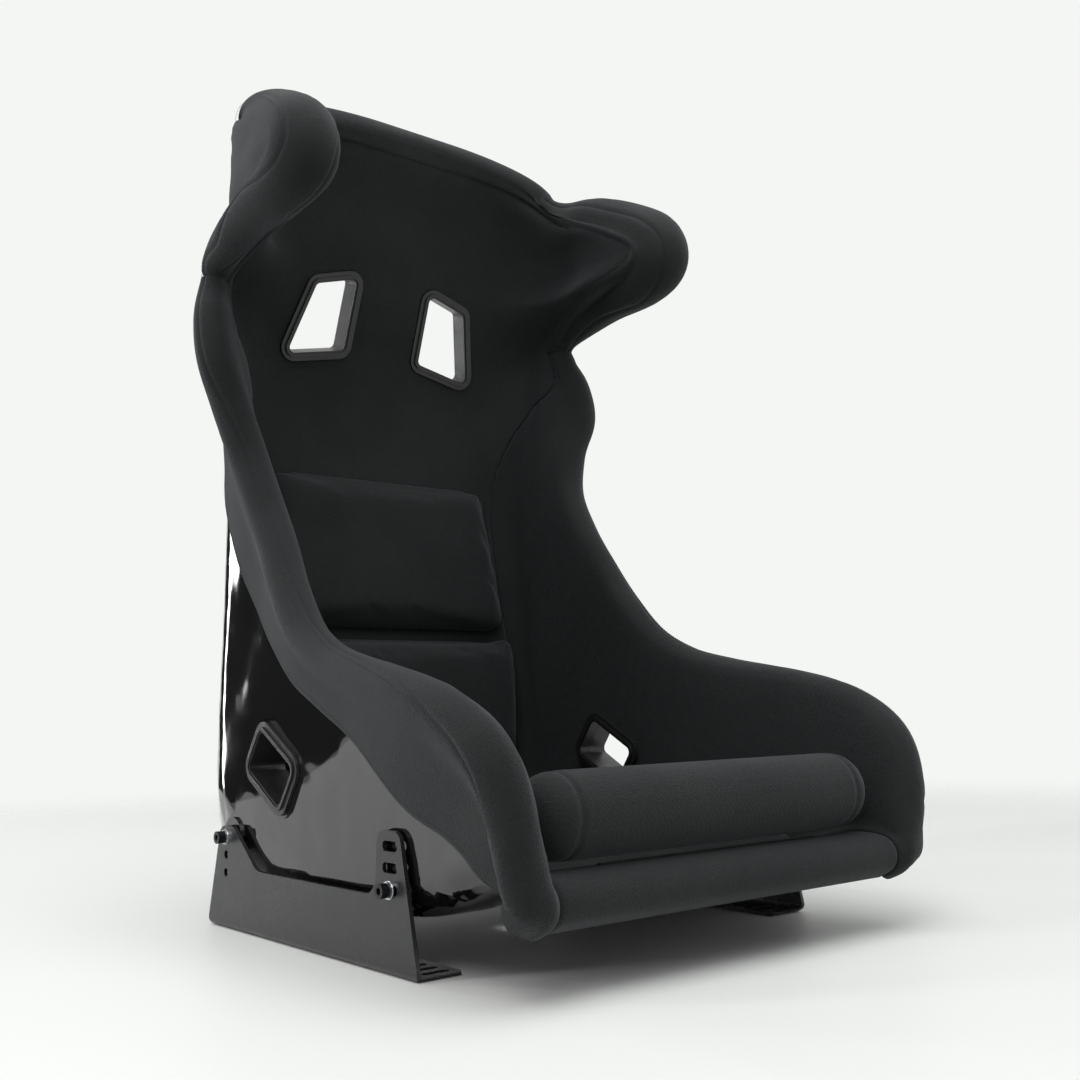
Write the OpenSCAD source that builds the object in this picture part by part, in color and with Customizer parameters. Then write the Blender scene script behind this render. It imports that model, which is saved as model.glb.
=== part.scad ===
// Fixed-back racing seat with head wings, on a pair of side brackets.
// Origin: floor level, centre of the four corner slots in the bracket feet.
// +X is the occupant's left, -Y is where the seat faces, +Z is up.

/* [Shell] */
// Thickness of the laminate
shell_t = 5; // [4:0.5:6]
// Clearance left between the laminate and the trim that lies on it
trim_gap = 1.7; // [0.8:0.1:2]

/* [Upholstery] */
// Foam and fabric over the back and the head panel
cover_t = 12; // [8:1:14]
// Foam and fabric over the front lip
lip_t = 9.5; // [8:0.5:12]
// Fabric and thin foam over the seat base
base_t = 5; // [3:1:6]
// Thickness of the trim where it ends on the outside of the shell
hem_t = 3; // [2:0.5:4]

/* [Cushions] */
// Thickness of the upper back cushion at its crown
upper_crown = 20; // [16:1:24]
// Thickness of the lumbar cushion at its crown
lumbar_crown = 38; // [30:1:42]
// Thickness of the base cushion at its crown
base_crown = 36; // [28:1:40]
// Diameter of the roll under the thighs
roll_d = 78; // [70:1:80]
// Length of the roll under the thighs
roll_l = 424; // [400:2:426]

/* [Slots] */
// Width of the moulded rim around each harness slot
bezel_rim = 11; // [9:0.5:12]
// Wall of the moulded sleeve that lines each slot
sleeve_t = 2.5; // [2:0.5:3]

/* [Brackets] */
// Distance between the outer faces of the two brackets
bracket_span = 504; // [504:1:506]
// Length of a bracket along the floor
bracket_l = 412; // [400:2:420]
// Thickness of the steel
bracket_t = 4; // [3:0.5:4]
// Width of the foot that lies on the floor
foot_w = 50; // [48:1:54]
// Distance between the front and rear side bolts
bolt_base = 325; // [320:1:330]
// Distance from one height hole to the next
hole_pitch = 18.5; // [18:0.5:19]
// Diameter of the holes and width of the slots
hole_d = 9; // [8.5:0.5:10]

/* [Hidden] */

FABRIC = [0.03, 0.03, 0.035];
GEL = [0.01, 0.01, 0.012];
PLASTIC = [0.06, 0.06, 0.065];
STEEL = [0.08, 0.08, 0.085];
ZINC = [0.75, 0.76, 0.78];

// Stations of the shell's inner face, from the front lip over the base and up to the head.
// centre y, z | edge x, y, z | wall x, corner length | edge roll radius, wrap, seam from centre
STATIONS = [
  [-326,  60, 236, -324,  65, 228,  10, 18,  30, 219],
  [-342,  70, 240, -344,  76, 231,  12, 18,  40, 219],
  [-338,  83, 245, -343,  95, 236,  16, 19,  55, 219],
  [-310,  86, 251, -338, 145, 241,  26, 21,  85, 219],
  [-275,  80, 256, -318, 190, 243,  28, 22, 100, 218],
  [-230,  66, 259, -268, 222, 242,  28, 22, 105, 216],
  [-165,  50, 257, -198, 241, 239,  24, 22, 100, 214],
  [ -70,  45, 250, -115, 256, 239,  26, 22,  60, 214],
  [  30,  45, 244,  -48, 273, 239,  30, 22,  48, 210],
  [ 140,  48, 239,    8, 302, 238,  36, 22,  52, 206],
  [ 222,  82, 234,   54, 350, 236,  46, 22,  62, 206],
  [ 250, 155, 229,   90, 400, 231,  60, 22,  74, 208],
  [ 257, 270, 228,  126, 452, 227,  70, 22,  84, 204],
  [ 265, 390, 232,  157, 510, 223,  72, 22,  90, 188],
  [ 273, 500, 248,  168, 570, 225,  84, 22,  95, 184],
  [ 279, 590, 267,  166, 620, 230, 104, 22,  95, 222],
  [ 277, 645, 269,  175, 664, 236, 124, 21,  95, 282],
  [ 268, 690, 262,  190, 704, 242, 142, 20,  90, 280],
  [ 254, 724, 259,  184, 738, 244, 150, 22,  85, 268],
  [ 243, 754, 261,  104, 766, 244, 142, 26,  90, 312],
  [ 234, 780, 259,   26, 778, 244, 130, 33,  95, 352],
  [ 225, 805, 256,   -7, 795, 244, 120, 38, 100, 368],
  [ 214, 834, 254,   -3, 822, 243, 114, 38, 100, 358],
  [ 201, 866, 250,   33, 846, 241, 112, 37,  95, 320],
  [ 187, 900, 243,   85, 869, 236, 114, 34,  80, 270],
  [ 177, 924, 229,  131, 884, 223, 124, 28,  60, 222],
  [ 169, 944, 203,  152, 896, 195, 150, 19,  40, 186]
];
LAST = len(STATIONS) - 1;
FLAT_STEPS = 2;
ARC_STEPS = 4;
WALL_STEPS = 4;
// Where one piece of trim ends and the next begins, counted in stations
NECK = 17.5;
LIP_END = 4;
BASE_END = 10.5;

// Shoulder slots: centre on the covered face, lean, turn, and opening in the slot's own plane
SHOULDER_AT = [91, 241, 722];
SHOULDER_LEAN = 21;
SHOULDER_TURN = 2.5;
SHOULDER_HOLE = [[-34, -38], [46, -54], [21, 38], [-35, 54]];
SHOULDER_BACK = -21;
// Lap slots: centre in side view and opening in (y, z)
LAP_AT = [68, 170];
LAP_HOLE = [[20, 38], [-48, 1], [-20, -38], [48, -1]];
LAP_FACE = 246;
LAP_INNER = 213;
// Crotch strap slot through the seat base
CROTCH_AT = [0, -60, 45];
CROTCH_HOLE = [[-42, -14], [42, -14], [42, 14], [-42, 14]];
SLOT_R = 7;

plate_x = bracket_span / 2;
BOLT_Y = bolt_base / 2;
REAR_BOLT_Z = 95.3;
FRONT_BOLT_Z = 72.6;
BOLTS = [[BOLT_Y, REAR_BOLT_Z], [-BOLT_Y, FRONT_BOLT_Z]];
FOOT_SLOT_Y = [120, 137.5, 155, 172.5, 190];
FOOT_SLOT_X = 224;
FOOT_SLOT_L = 28;
HEIGHT_SLOT_L = 24;
SPACER_T = 3;
pad_x = plate_x - bracket_t - SPACER_T;
ROLL_AT = [0, -300, 138];
$fn = 32;

// ---- curves and surfaces ----

function unit(v) = v / norm(v);
function mirrored(p) = [-p[0], p[1], p[2]];
function mix(a, b, t) = a + (b - a) * t;
function ease(t) = let (k = min(max(t, 0), 1)) k * k * (3 - 2 * k);
function steps(a, b, n) = [for (k = [0 : n]) a + (b - a) * k / n];

function catmull(p, q, r, s, t) =
  0.5 * (2 * q + (r - p) * t + (2 * p - 5 * q + 4 * r - s) * t * t
  + (3 * q - p - 3 * r + s) * t * t * t);

// Station at any place u between 0 and LAST
function station(u) =
  let (i = max(min(floor(u), LAST - 1), 0))
  catmull(STATIONS[max(i - 1, 0)], STATIONS[i], STATIONS[i + 1],
    STATIONS[min(i + 2, LAST)], u - i);

function reach(s) = norm([s[3] - s[0], s[4] - s[1]]);

function bezier(p, t) =
  pow(1 - t, 3) * p[0] + 3 * t * pow(1 - t, 2) * p[1] + 3 * t * t * (1 - t) * p[2]
  + pow(t, 3) * p[3];

// Half section from the centre line to the edge: flat, rounded corner, wall
function section(s) =
  let (h = reach(s), rx = s[6], rv = min(rx, 0.62 * h), wall = h - rv,
    p = [[s[5], rv], [s[5], rv + 0.4 * wall],
      [s[2] - 0.3 * (s[2] - s[5]), h - 0.35 * wall], [s[2], h]])
  [for (k = [0 : FLAT_STEPS - 1]) [(s[5] - rx) * k / FLAT_STEPS, 0],
   for (k = [0 : ARC_STEPS - 1]) let (a = 90 * k / ARC_STEPS)
     [s[5] - rx + rx * sin(a), rv - rv * cos(a)],
   for (k = [0 : WALL_STEPS]) bezier(p, k / WALL_STEPS)];

// Running length along a half section
function lengths(c, i = 0, sum = 0) =
  i == len(c) ? [] :
  let (run = i == 0 ? 0 : sum + norm(c[i] - c[i - 1]))
  concat([run], lengths(c, i + 1, run));

// Point of a half section at the distance d from the centre line
function along(c, run, d, i = 1) =
  i == len(c) - 1 || d <= run[i]
    ? c[i - 1] + (c[i] - c[i - 1]) * (d - run[i - 1]) / (run[i] - run[i - 1])
    : along(c, run, d, i + 1);

// From a section's plane into space
function place(s, q) =
  let (h = reach(s))
  [q[0], s[0] + q[1] * (s[3] - s[0]) / h, s[1] + q[1] * (s[4] - s[1]) / h];

// A cross-section with its two near neighbours: what is needed to find its points
function slice(u) =
  let (v = min(max(u, 0.05), LAST - 0.05))
  [for (w = [v - 0.05, u, v + 0.05]) let (s = station(w), c = section(s)) [s, c, lengths(c), w]];

function half_length(sl) = sl[1][2][len(sl[1][2]) - 1];

function on_part(part, d) = place(part[0], along(part[1], part[2], d));

// Point of the inner face at the distance d from the centre line, its normal into the
// seat, and the directions along the face out over the side edge and over the top edge.
// Round the head wings the sections meet the edge at a slant, so the normal there comes
// from the section and the centre line alone.
function face(sl, d) =
  let (step = 4, whole = half_length(sl), a = max(min(d, whole - step), 0), ratio = d / whole,
    q1 = along(sl[1][1], sl[1][2], min(a + step, whole)),
    q0 = along(sl[1][1], sl[1][2], max(a - step, 0)),
    td = place(sl[1][0], q1) - place(sl[1][0], q0),
    tu = on_part(sl[2], ratio * sl[2][2][len(sl[2][2]) - 1])
      - on_part(sl[0], ratio * sl[0][2][len(sl[0][2]) - 1]),
    t = unit(q1 - q0), spine = on_part(sl[2], 0) - on_part(sl[0], 0),
    straight = t[0] * unit(cross([1, 0, 0], spine)) - [t[1], 0, 0],
    n = unit(mix(unit(cross(td, tu)), straight, ease((sl[1][3] - 17.4) / 1.2))))
  [on_part(sl[1], d), n, unit(cross(tu, n)), unit(cross(n, td))];

// The same for a place [u, f], with f the share of the half section's length
function spot(q) = let (sl = slice(q[0])) face(sl, q[1] * half_length(sl));

function lifted(f, o) = f[0] + o * f[1];

// Row across the whole seat at the offsets o, for the distances d from the centre line
function across(sl, d, o) =
  let (half = [for (k = [0 : len(d) - 1]) lifted(face(sl, d[k]), o[k])])
  concat([for (i = [len(half) - 1 : -1 : 1]) mirrored(half[i])], half);

function same(o, list) = [for (d = list) o];

// A closed solid between two grids of points of equal size. The squares of a grid that is
// its own mirror image are split along mirrored diagonals.
module slab(front, back, mirrors = false) {
  rows = len(front);
  cols = len(front[0]);
  size = rows * cols;
  function id(g, i, j) = g * size + i * cols + j;
  points = concat([for (row = front) each row], [for (row = back) each row]);
  function square(g, i, j) =
    mirrors && j < (cols - 1) / 2
      ? [[id(g, i + 1, j), id(g, i + 1, j + 1), id(g, i, j + 1)],
         [id(g, i, j), id(g, i + 1, j), id(g, i, j + 1)]]
      : [[id(g, i + 1, j + 1), id(g, i, j + 1), id(g, i, j)],
         [id(g, i + 1, j), id(g, i + 1, j + 1), id(g, i, j)]];
  function turned(f) = [f[2], f[1], f[0]];
  faces = concat(
    [for (i = [0 : rows - 2], j = [0 : cols - 2]) each square(0, i, j)],
    [for (i = [0 : rows - 2], j = [0 : cols - 2]) for (f = square(1, i, j)) turned(f)],
    [for (i = [0 : rows - 2])
      each [[id(1, i + 1, 0), id(0, i + 1, 0), id(0, i, 0)],
            [id(1, i, 0), id(1, i + 1, 0), id(0, i, 0)],
            [id(0, i + 1, cols - 1), id(1, i + 1, cols - 1), id(0, i, cols - 1)],
            [id(1, i + 1, cols - 1), id(1, i, cols - 1), id(0, i, cols - 1)]]],
    [for (j = [0 : cols - 2])
      each [[id(0, 0, j + 1), id(1, 0, j + 1), id(0, 0, j)],
            [id(1, 0, j + 1), id(1, 0, j), id(0, 0, j)],
            [id(1, rows - 1, j + 1), id(0, rows - 1, j + 1), id(0, rows - 1, j)],
            [id(1, rows - 1, j), id(1, rows - 1, j + 1), id(0, rows - 1, j)]]]);
  polyhedron(points = points, faces = faces, convexity = 10);
}

// ---- flat outlines ----

function outward(v) = [v[1], -v[0]];

// Outline with rounded corners from points [x, y, r], offset outwards by grow
function rounded(poly, grow = 0, n = 5) =
  [for (i = [0 : len(poly) - 1])
    let (m = len(poly), p = poly[(i + m - 1) % m], q = poly[i], s = poly[(i + 1) % m],
      a = outward(unit([q[0] - p[0], q[1] - p[1]])),
      b = outward(unit([s[0] - q[0], s[1] - q[1]])),
      bend = a[0] * b[1] - a[1] * b[0], side = bend < 0 ? -1 : 1,
      c = [q[0], q[1]] - side * q[2] / (1 + a * b) * (a + b),
      t = atan2(a[1], a[0]), d = atan2(bend, a * b))
    for (k = [0 : n])
      c + side * (q[2] + side * grow) * [cos(t + d * k / n), sin(t + d * k / n)]];

function with_radius(poly, r) = [for (p = poly) [p[0], p[1], r]];

// Prism on a slot's outline, from low to high along the slot's axis
module slot_prism(poly, grow, low, high) {
  translate([0, 0, low]) linear_extrude(high - low)
    polygon(rounded(with_radius(poly, SLOT_R), grow));
}

// Into a harness slot's own frame: z out of the covered face, x away from the middle
module in_shoulder(side) {
  mirror([side < 0 ? 1 : 0, 0, 0]) translate(SHOULDER_AT)
    rotate([90 + SHOULDER_LEAN, 0, 0]) rotate([0, -SHOULDER_TURN, 0]) children();
}

// The lap slot's frame: z outwards, measured from the middle of the seat
module in_lap(side) {
  mirror([side < 0 ? 1 : 0, 0, 0]) translate([0, LAP_AT[0], LAP_AT[1]])
    rotate([90, 0, 90]) children();
}

module at_bolts(side, x) {
  for (b = BOLTS) translate([side * x, b[0], b[1]]) rotate([0, side * 90, 0]) children();
}

// ---- shell ----

module seat_shell() {
  rows = [for (u = [0 : 0.5 : LAST]) slice(u)];
  color(GEL) difference() {
    union() {
      slab([for (sl = rows) across(sl, sl[1][2], same(0, sl[1][2]))],
        [for (sl = rows) across(sl, sl[1][2], same(-shell_t, sl[1][2]))], true);
      for (side = [-1, 1]) {
        at_bolts(side, pad_x - 12) cylinder(r = 20, h = 12);
        in_shoulder(side) slot_prism(SHOULDER_HOLE, bezel_rim + 4, SHOULDER_BACK, -13);
        in_lap(side) slot_prism(LAP_HOLE, bezel_rim + 3, 239, LAP_FACE);
      }
    }
    for (side = [-1, 1]) {
      in_shoulder(side) slot_prism(SHOULDER_HOLE, sleeve_t + 0.6, -80, 60);
      in_lap(side) {
        slot_prism(LAP_HOLE, sleeve_t + 0.6, 190, 280);
        slot_prism(LAP_HOLE, bezel_rim + 3, LAP_FACE, 280);
      }
      at_bolts(side, pad_x - 40) cylinder(d = 12.2, h = 60);
    }
    translate(CROTCH_AT) slot_prism(CROTCH_HOLE, sleeve_t + 0.6, -40, 30);
  }
}

// ---- sewn trim ----

// How much of the full outer padding of the head wings a station gets
function full(u) = ease((u - 18.2) / 2) * ease((LAST + 1 - u) / 2.6);

// Room between shell and trim, wider where the shell bends both ways
function gap_at(u) = trim_gap + 2.4 * ease((u - 10.5) / 1.5) + 0.7 * ease((5.5 - u) / 1.5);

// Extra foam towards the side seams of the head panel, inside the wings
function wing_foam(u) = 15 * ease((u - 18) / 2.6) * ease((25.4 - u) / 2.4);

function foam(t, start, top) =
  t < 0.001 ? start - 2 : mix(start, top, ease(t)) + 2.5 * sin(180 * t);

// Rows of trim that runs from a seam over the shell's edge and down its outside. Each path
// row is [seam, rim, hem, turn]: places [u, f] on the face, turn 0 sideways to 1 upwards.
function rim_frame(row) =
  let (g = spot(row[1]), a = 90 * row[3])
  [g[0], g[1], unit(cos(a) * g[2] + sin(a) * g[3])];

// Places across a row: from the seam to the rim, and from the rim to the hem. A row
// straight across takes the shell's own points, so that the two faces run alike.
INNER = 6;
OUTER = 8;
function straight_across(row) = row[0][0] == row[1][0] && row[2][0] == row[1][0];
function inner_places(row) =
  straight_across(row)
    ? let (sl = slice(row[0][0]), run = sl[1][2], whole = half_length(sl), n = len(run) - 1)
      [row[0], for (k = [1 : INNER - 1])
        [row[0][0], max(run[n - INNER + k] / whole, row[0][1] + 0.008 * k)]]
    : [for (k = [0 : INNER - 1]) mix(row[0], row[1], k / INNER)];
function outer_places(row) =
  straight_across(row)
    ? let (sl = slice(row[0][0]), run = sl[1][2], whole = half_length(sl), n = len(run) - 1)
      [for (k = [1 : OUTER - 1])
        [row[0][0], max(run[n - k] / whole, row[2][1] + 0.008 * (OUTER - k))], row[2]]
    : [for (k = [0.1, 0.2, 0.32, 0.45, 0.58, 0.72, 0.86, 1]) mix(row[1], row[2], k)];

function rim_back(row) =
  let (g = rim_frame(row), gap = gap_at(row[1][0]), low = shell_t + gap,
    out = gap + 1.5 * ease((3.5 - row[1][0]) / 2))
  concat(
    [for (q = inner_places(row)) lifted(spot(q), gap)],
    [g[0] + gap * g[1] + out * g[2], g[0] + out * g[2] - shell_t / 2 * g[1],
     g[0] - low * g[1] + out * g[2]],
    [for (q = outer_places(row)) lifted(spot(q), -low)]);

function rim_front(row) =
  let (g = rim_frame(row), u = row[1][0], r = station(u)[7] - 1.5 * ease((2 - u) / 1.5), o = g[0] - 2.5 * g[1],
    top = r - 2.5, start = cover_t + wing_foam(row[0][0]), width = norm(row[1] - row[0]))
  concat(
    [for (q = inner_places(row))
      lifted(spot(q), foam(norm(q - row[0]) / width, start, top))],
    [for (k = [0 : 6]) o + r * (cos(30 * k) * g[1] + sin(30 * k) * g[2])],
    [for (k = [0.25 : 0.25 : 1]) lifted(spot(mix(row[1], row[2], k)),
      -shell_t - max(gap_at(u) + 2,
        mix(hem_t + (1 - k) * 0.5 * top, r * (1.03 - 0.71 * pow(k, 2.5)), full(u))))]);

module rim_trim(path) {
  slab([for (row = path) rim_front(row)], [for (row = path) rim_back(row)]);
}

// Path row straight across the edge at the station u
function side_row(u) =
  let (sl = slice(u), s = sl[1][0], whole = half_length(sl))
  [[u, s[9] / whole], [u, 1], [u, 1 - s[8] / whole], 0];

module side_bolster(side) {
  color(FABRIC) difference() {
    mirror([side < 0 ? 1 : 0, 0, 0])
      rim_trim([for (u = [each [0 : 0.5 : NECK - 0.5], NECK - 0.02]) side_row(u)]);
    in_lap(side) {
      slot_prism(LAP_HOLE, sleeve_t + 0.6, 180, 280);
      slot_prism(LAP_HOLE, bezel_rim + 1, 150, LAP_INNER + 0.4);
      slot_prism(LAP_HOLE, bezel_rim + 4, 238, 280);
    }
    at_bolts(side, pad_x - 17.5) cylinder(r = 21, h = 60);
  }
}

// Path of the head padding: up one side, round the wing and along the top to the middle.
// Places [u, f] of seam, rim and hem, and the turn
HEAD_PATH = [
  [[18.3, 0.9], [18, 1], [18.1, 0.66], 0],
  [[19, 0.87], [18.5, 1], [18.5, 0.62], 0],
  [[19.7, 0.845], [19, 1], [19.1, 0.59], 0],
  [[20.3, 0.87], [19.5, 1], [19.7, 0.57], 0],
  [[20.8, 0.915], [20, 1], [20.3, 0.56], 0],
  [[21.15, 0.945], [20.5, 1], [20.8, 0.55], 0],
  [[21.33, 0.955], [21, 1], [21.3, 0.55], 0],
  [[21.45, 0.955], [21.5, 1], [21.8, 0.55], 0],
  [[21.65, 0.95], [22, 1], [22.2, 0.55], 0],
  [[21.98, 0.935], [22.5, 1], [22.6, 0.55], 0],
  [[22.4, 0.914], [23, 1], [22.9, 0.55], 0],
  [[22.83, 0.888], [23.5, 1], [23.25, 0.55], 0],
  [[23.2, 0.854], [24, 1], [23.55, 0.55], 0],
  [[23.5, 0.815], [24.5, 1], [23.85, 0.55], 0],
  [[23.78, 0.77], [25, 1], [24.05, 0.555], 0],
  [[24.07, 0.728], [25.5, 1], [24.25, 0.54], 0.2],
  [[24.35, 0.695], [26, 1], [24.4, 0.52], 0.5],
  [[24.66, 0.69], [26, 0.93], [24.5, 0.5], 0.8],
  [[24.9, 0.67], [26, 0.86], [24.6, 0.48], 1],
  [[25.02, 0.635], [26, 0.79], [24.65, 0.45], 1],
  [[25.1, 0.57], [26, 0.7], [24.7, 0.4], 1],
  [[25.15, 0.455], [26, 0.54], [24.7, 0.31], 1],
  [[25.18, 0.31], [26, 0.36], [24.7, 0.205], 1],
  [[25.2, 0.155], [26, 0.18], [24.7, 0.1], 1],
  [[25.2, 0], [26, 0], [24.7, 0], 1]];

module head_wing_pads() {
  half = concat([side_row(NECK + 0.02)], HEAD_PATH);
  front = [for (row = half) rim_front(row)];
  back = [for (row = half) rim_back(row)];
  n = len(half);
  color(FABRIC) slab(
    concat(front, [for (i = [n - 2 : -1 : 0]) [for (p = front[i]) mirrored(p)]]),
    concat(back, [for (i = [n - 2 : -1 : 0]) [for (p = back[i]) mirrored(p)]]));
}

// Distance from the centre line at which the middle trim meets the sides
HEAD_SEAM = concat([[NECK, 0.942]], [for (i = [0 : 22]) HEAD_PATH[i][0]]);

function inner_seam(sl, u) =
  u < NECK ? sl[1][0][9] - 0.7 : lookup(u, HEAD_SEAM) * half_length(sl) - 1.4;

function middle_row(u, t) =
  let (sl = slice(u), gap = gap_at(u), whole = inner_seam(sl, u),
    run = sl[1][2],
    d = [0, for (k = [2 : 8]) min(run[k], whole - 1.5 * (9 - k)), whole])
  [across(sl, d, [for (q = d) t + wing_foam(u) * ease(2 * q / whole - 1)
      - (q == whole ? min(2, t / 3) : 0)]),
   across(sl, d, same(gap, d))];

module middle_trim(places, t) {
  rows = [for (u = places) middle_row(u, t)];
  slab([for (r = rows) r[0]], [for (r = rows) r[1]], true);
}

module back_cover() {
  color(FABRIC) difference() {
    middle_trim([BASE_END + 0.02, each [BASE_END + 0.5 : 0.5 : NECK],
      for (i = [0 : 21]) if (i != 7) HEAD_PATH[i][0][0]], cover_t);
    for (side = [-1, 1]) in_shoulder(side) {
      slot_prism(SHOULDER_HOLE, sleeve_t + 0.6, -60, 60);
      slot_prism(SHOULDER_HOLE, bezel_rim + 1, -2, 60);
      slot_prism(SHOULDER_HOLE, bezel_rim + 5, -60, -12.4);
    }
  }
}

module base_cover() {
  color(FABRIC) difference() {
    middle_trim([LIP_END + 0.02, each [LIP_END + 0.5 : 0.5 : BASE_END - 0.5],
      BASE_END - 0.02], base_t);
    translate(CROTCH_AT) slot_prism(CROTCH_HOLE, sleeve_t + 0.6, -40, 30);
  }
}

module front_lip_cover() {
  color(FABRIC) middle_trim([each [0 : 0.5 : LIP_END - 0.5], LIP_END - 0.02], lip_t);
}

// ---- loose cushions ----

SPREAD = [-1, -0.97, -0.88, -0.68, -0.36, 0, 0.36, 0.68, 0.88, 0.97, 1];

function swell(s, t) = pow(1 - pow(abs(s), 7), 0.4) * pow(1 - pow(abs(t), 7), 0.4)
  * (1 - 0.12 * s * s) * (1 - 0.1 * t * t);

// Row i of a cushion between the stations u0 and u1; half widths w0 and w1; raised by low
function cushion_row(t, u0, u1, w0, w1, low, side_h, crown) =
  [for (k = [0, 1]) [for (s = SPREAD)
    let (inset = k == 1 ? 0.985 : 1,
      u = mix(u0, u1, 0.5 + 0.5 * inset * t * (1 - 0.035 * pow(abs(s), 8))),
      sl = slice(u), d = mix(w0, w1, 0.5 + 0.5 * t) * s * inset * (1 - 0.03 * pow(abs(t), 8)),
      f = face(sl, abs(d)), p = lifted(f, low), n = face(sl, 0)[1],
      h = side_h + (crown - side_h) * swell(s, t),
      q = k == 1 ? p : p + h * n + [0.3 * h * pow(abs(s), 4), 0, 0])
    d < 0 ? mirrored(q) : q]];

module cushion(u0, u1, w0, w1, low, side_h, crown) {
  rows = [for (t = SPREAD) cushion_row(t, u0, u1, w0, w1, low, side_h, crown)];
  slab([for (r = rows) r[0]], [for (r = rows) r[1]]);
}

module upper_back_cushion() {
  color(FABRIC) cushion(12.45, 14.2, 192, 160, cover_t + 3, 8, upper_crown);
}

module lumbar_cushion() {
  color(FABRIC) cushion(11.02, 12.37, 196, 196, cover_t + 3, 16, lumbar_crown);
}

module base_cushion() {
  color(FABRIC) difference() {
    cushion(4.6, 9.25, 204, 198, base_t + 3, 16, base_crown);
    translate(CROTCH_AT) slot_prism(CROTCH_HOLE, bezel_rim + 4, -20, 60);
  }
}

module thigh_roll() {
  r = roll_d / 2;
  h = roll_l / 2;
  profile = concat(
    [for (a = [90 : -15 : 0]) [r - 20 + 20 * cos(a), h - 14 + 14 * sin(a)]],
    [[r, 0]],
    [for (a = [0 : -15 : -90]) [r - 20 + 20 * cos(a), -h + 14 + 14 * sin(a)]],
    [[0, -h], [0, h]]);
  color(FABRIC) translate(ROLL_AT) rotate([0, 90, 0]) rotate_extrude($fn = 48)
    polygon(profile);
}

// Hook strips that hold a cushion: [u0, u1, half width] at the offset low
module hook_strip(u0, u1, w, low) {
  rows = [for (u = [u0, u1]) slice(u)];
  d = [0, w];
  color(PLASTIC) slab([for (sl = rows) across(sl, d, same(low + 1.5, d))],
    [for (sl = rows) across(sl, d, same(low, d))]);
}

module upper_hook_strips() {
  for (u = [12.75, 13.5]) hook_strip(u, u + 0.2, 90, cover_t + 1.3);
}

module lumbar_hook_strips() {
  for (u = [11.25, 11.85]) hook_strip(u, u + 0.15, 110, cover_t + 1.3);
}

module base_hook_strips() {
  for (u = [5.5, 8.1]) hook_strip(u, u + 0.25, 150, base_t + 0.8);
}

module roll_hook_strips() {
  hook_strip(2.97, 3.07, 140, lip_t + 0.3);
}

// ---- slot trim ----

module shoulder_bezel(side) {
  color(PLASTIC) in_shoulder(side) difference() {
    union() {
      slot_prism(SHOULDER_HOLE, bezel_rim, -1.6, 2.4);
      slot_prism(SHOULDER_HOLE, 5.5, 2.3, 5);
      slot_prism(SHOULDER_HOLE, sleeve_t, SHOULDER_BACK - 3.6, 0);
    }
    slot_prism(SHOULDER_HOLE, 0, -60, 60);
    slot_prism(SHOULDER_HOLE, 2.2, 3.4, 60);
  }
}

module shoulder_backing_ring(side) {
  color(PLASTIC) in_shoulder(side) difference() {
    slot_prism(SHOULDER_HOLE, bezel_rim, SHOULDER_BACK - 3.4, SHOULDER_BACK - 0.3);
    slot_prism(SHOULDER_HOLE, sleeve_t + 0.4, -60, 60);
  }
}

module lap_bezel(side) {
  color(PLASTIC) in_lap(side) difference() {
    union() {
      slot_prism(LAP_HOLE, bezel_rim, LAP_FACE + 0.3, LAP_FACE + 3.3);
      slot_prism(LAP_HOLE, 5.5, LAP_FACE + 3.2, LAP_FACE + 5.6);
      slot_prism(LAP_HOLE, sleeve_t, LAP_INNER + 10, LAP_FACE + 1);
    }
    slot_prism(LAP_HOLE, 0, 100, 300);
    slot_prism(LAP_HOLE, 2.2, LAP_FACE + 4.2, 300);
  }
}

module lap_inner_ring(side) {
  color(PLASTIC) in_lap(side) difference() {
    union() {
      slot_prism(LAP_HOLE, bezel_rim, LAP_INNER - 2.6, LAP_INNER);
      slot_prism(LAP_HOLE, 5.5, LAP_INNER - 4.6, LAP_INNER - 2.5);
      slot_prism(LAP_HOLE, sleeve_t, LAP_INNER - 1, LAP_INNER + 9.5);
    }
    slot_prism(LAP_HOLE, 0, 100, 300);
    slot_prism(LAP_HOLE, 2.2, 100, LAP_INNER - 3.4);
  }
}

module crotch_bezel() {
  color(PLASTIC) translate(CROTCH_AT) difference() {
    union() {
      slot_prism(CROTCH_HOLE, bezel_rim, base_t + 0.5, base_t + 3);
      slot_prism(CROTCH_HOLE, 5.5, base_t + 2.9, base_t + 5);
      slot_prism(CROTCH_HOLE, sleeve_t, -11.5, base_t + 1);
    }
    slot_prism(CROTCH_HOLE, 0, -60, 60);
    slot_prism(CROTCH_HOLE, 2.2, base_t + 3.8, 60);
  }
}

module crotch_backing_ring() {
  color(PLASTIC) translate(CROTCH_AT) difference() {
    slot_prism(CROTCH_HOLE, bezel_rim, -10.6, -7.2);
    slot_prism(CROTCH_HOLE, sleeve_t + 0.4, -60, 60);
  }
}

// ---- brackets and fastenings ----

LOBES = [[-206, 0, 8], [206, 0, 8], [176.5, 107, 13], [146, 107, 13], [92, 65.5, 25],
  [-138, 65.5, 18], [-142, 123, 12], [-177.7, 123, 12]];

// Round-ended slot along local x, cut through z
module slot_cut(length, h) {
  run = length - hole_d;
  cube([run, hole_d, h], center = true);
  for (x = [-run / 2, run / 2]) translate([x, 0, 0]) cylinder(d = hole_d, h = h, center = true);
}

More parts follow.
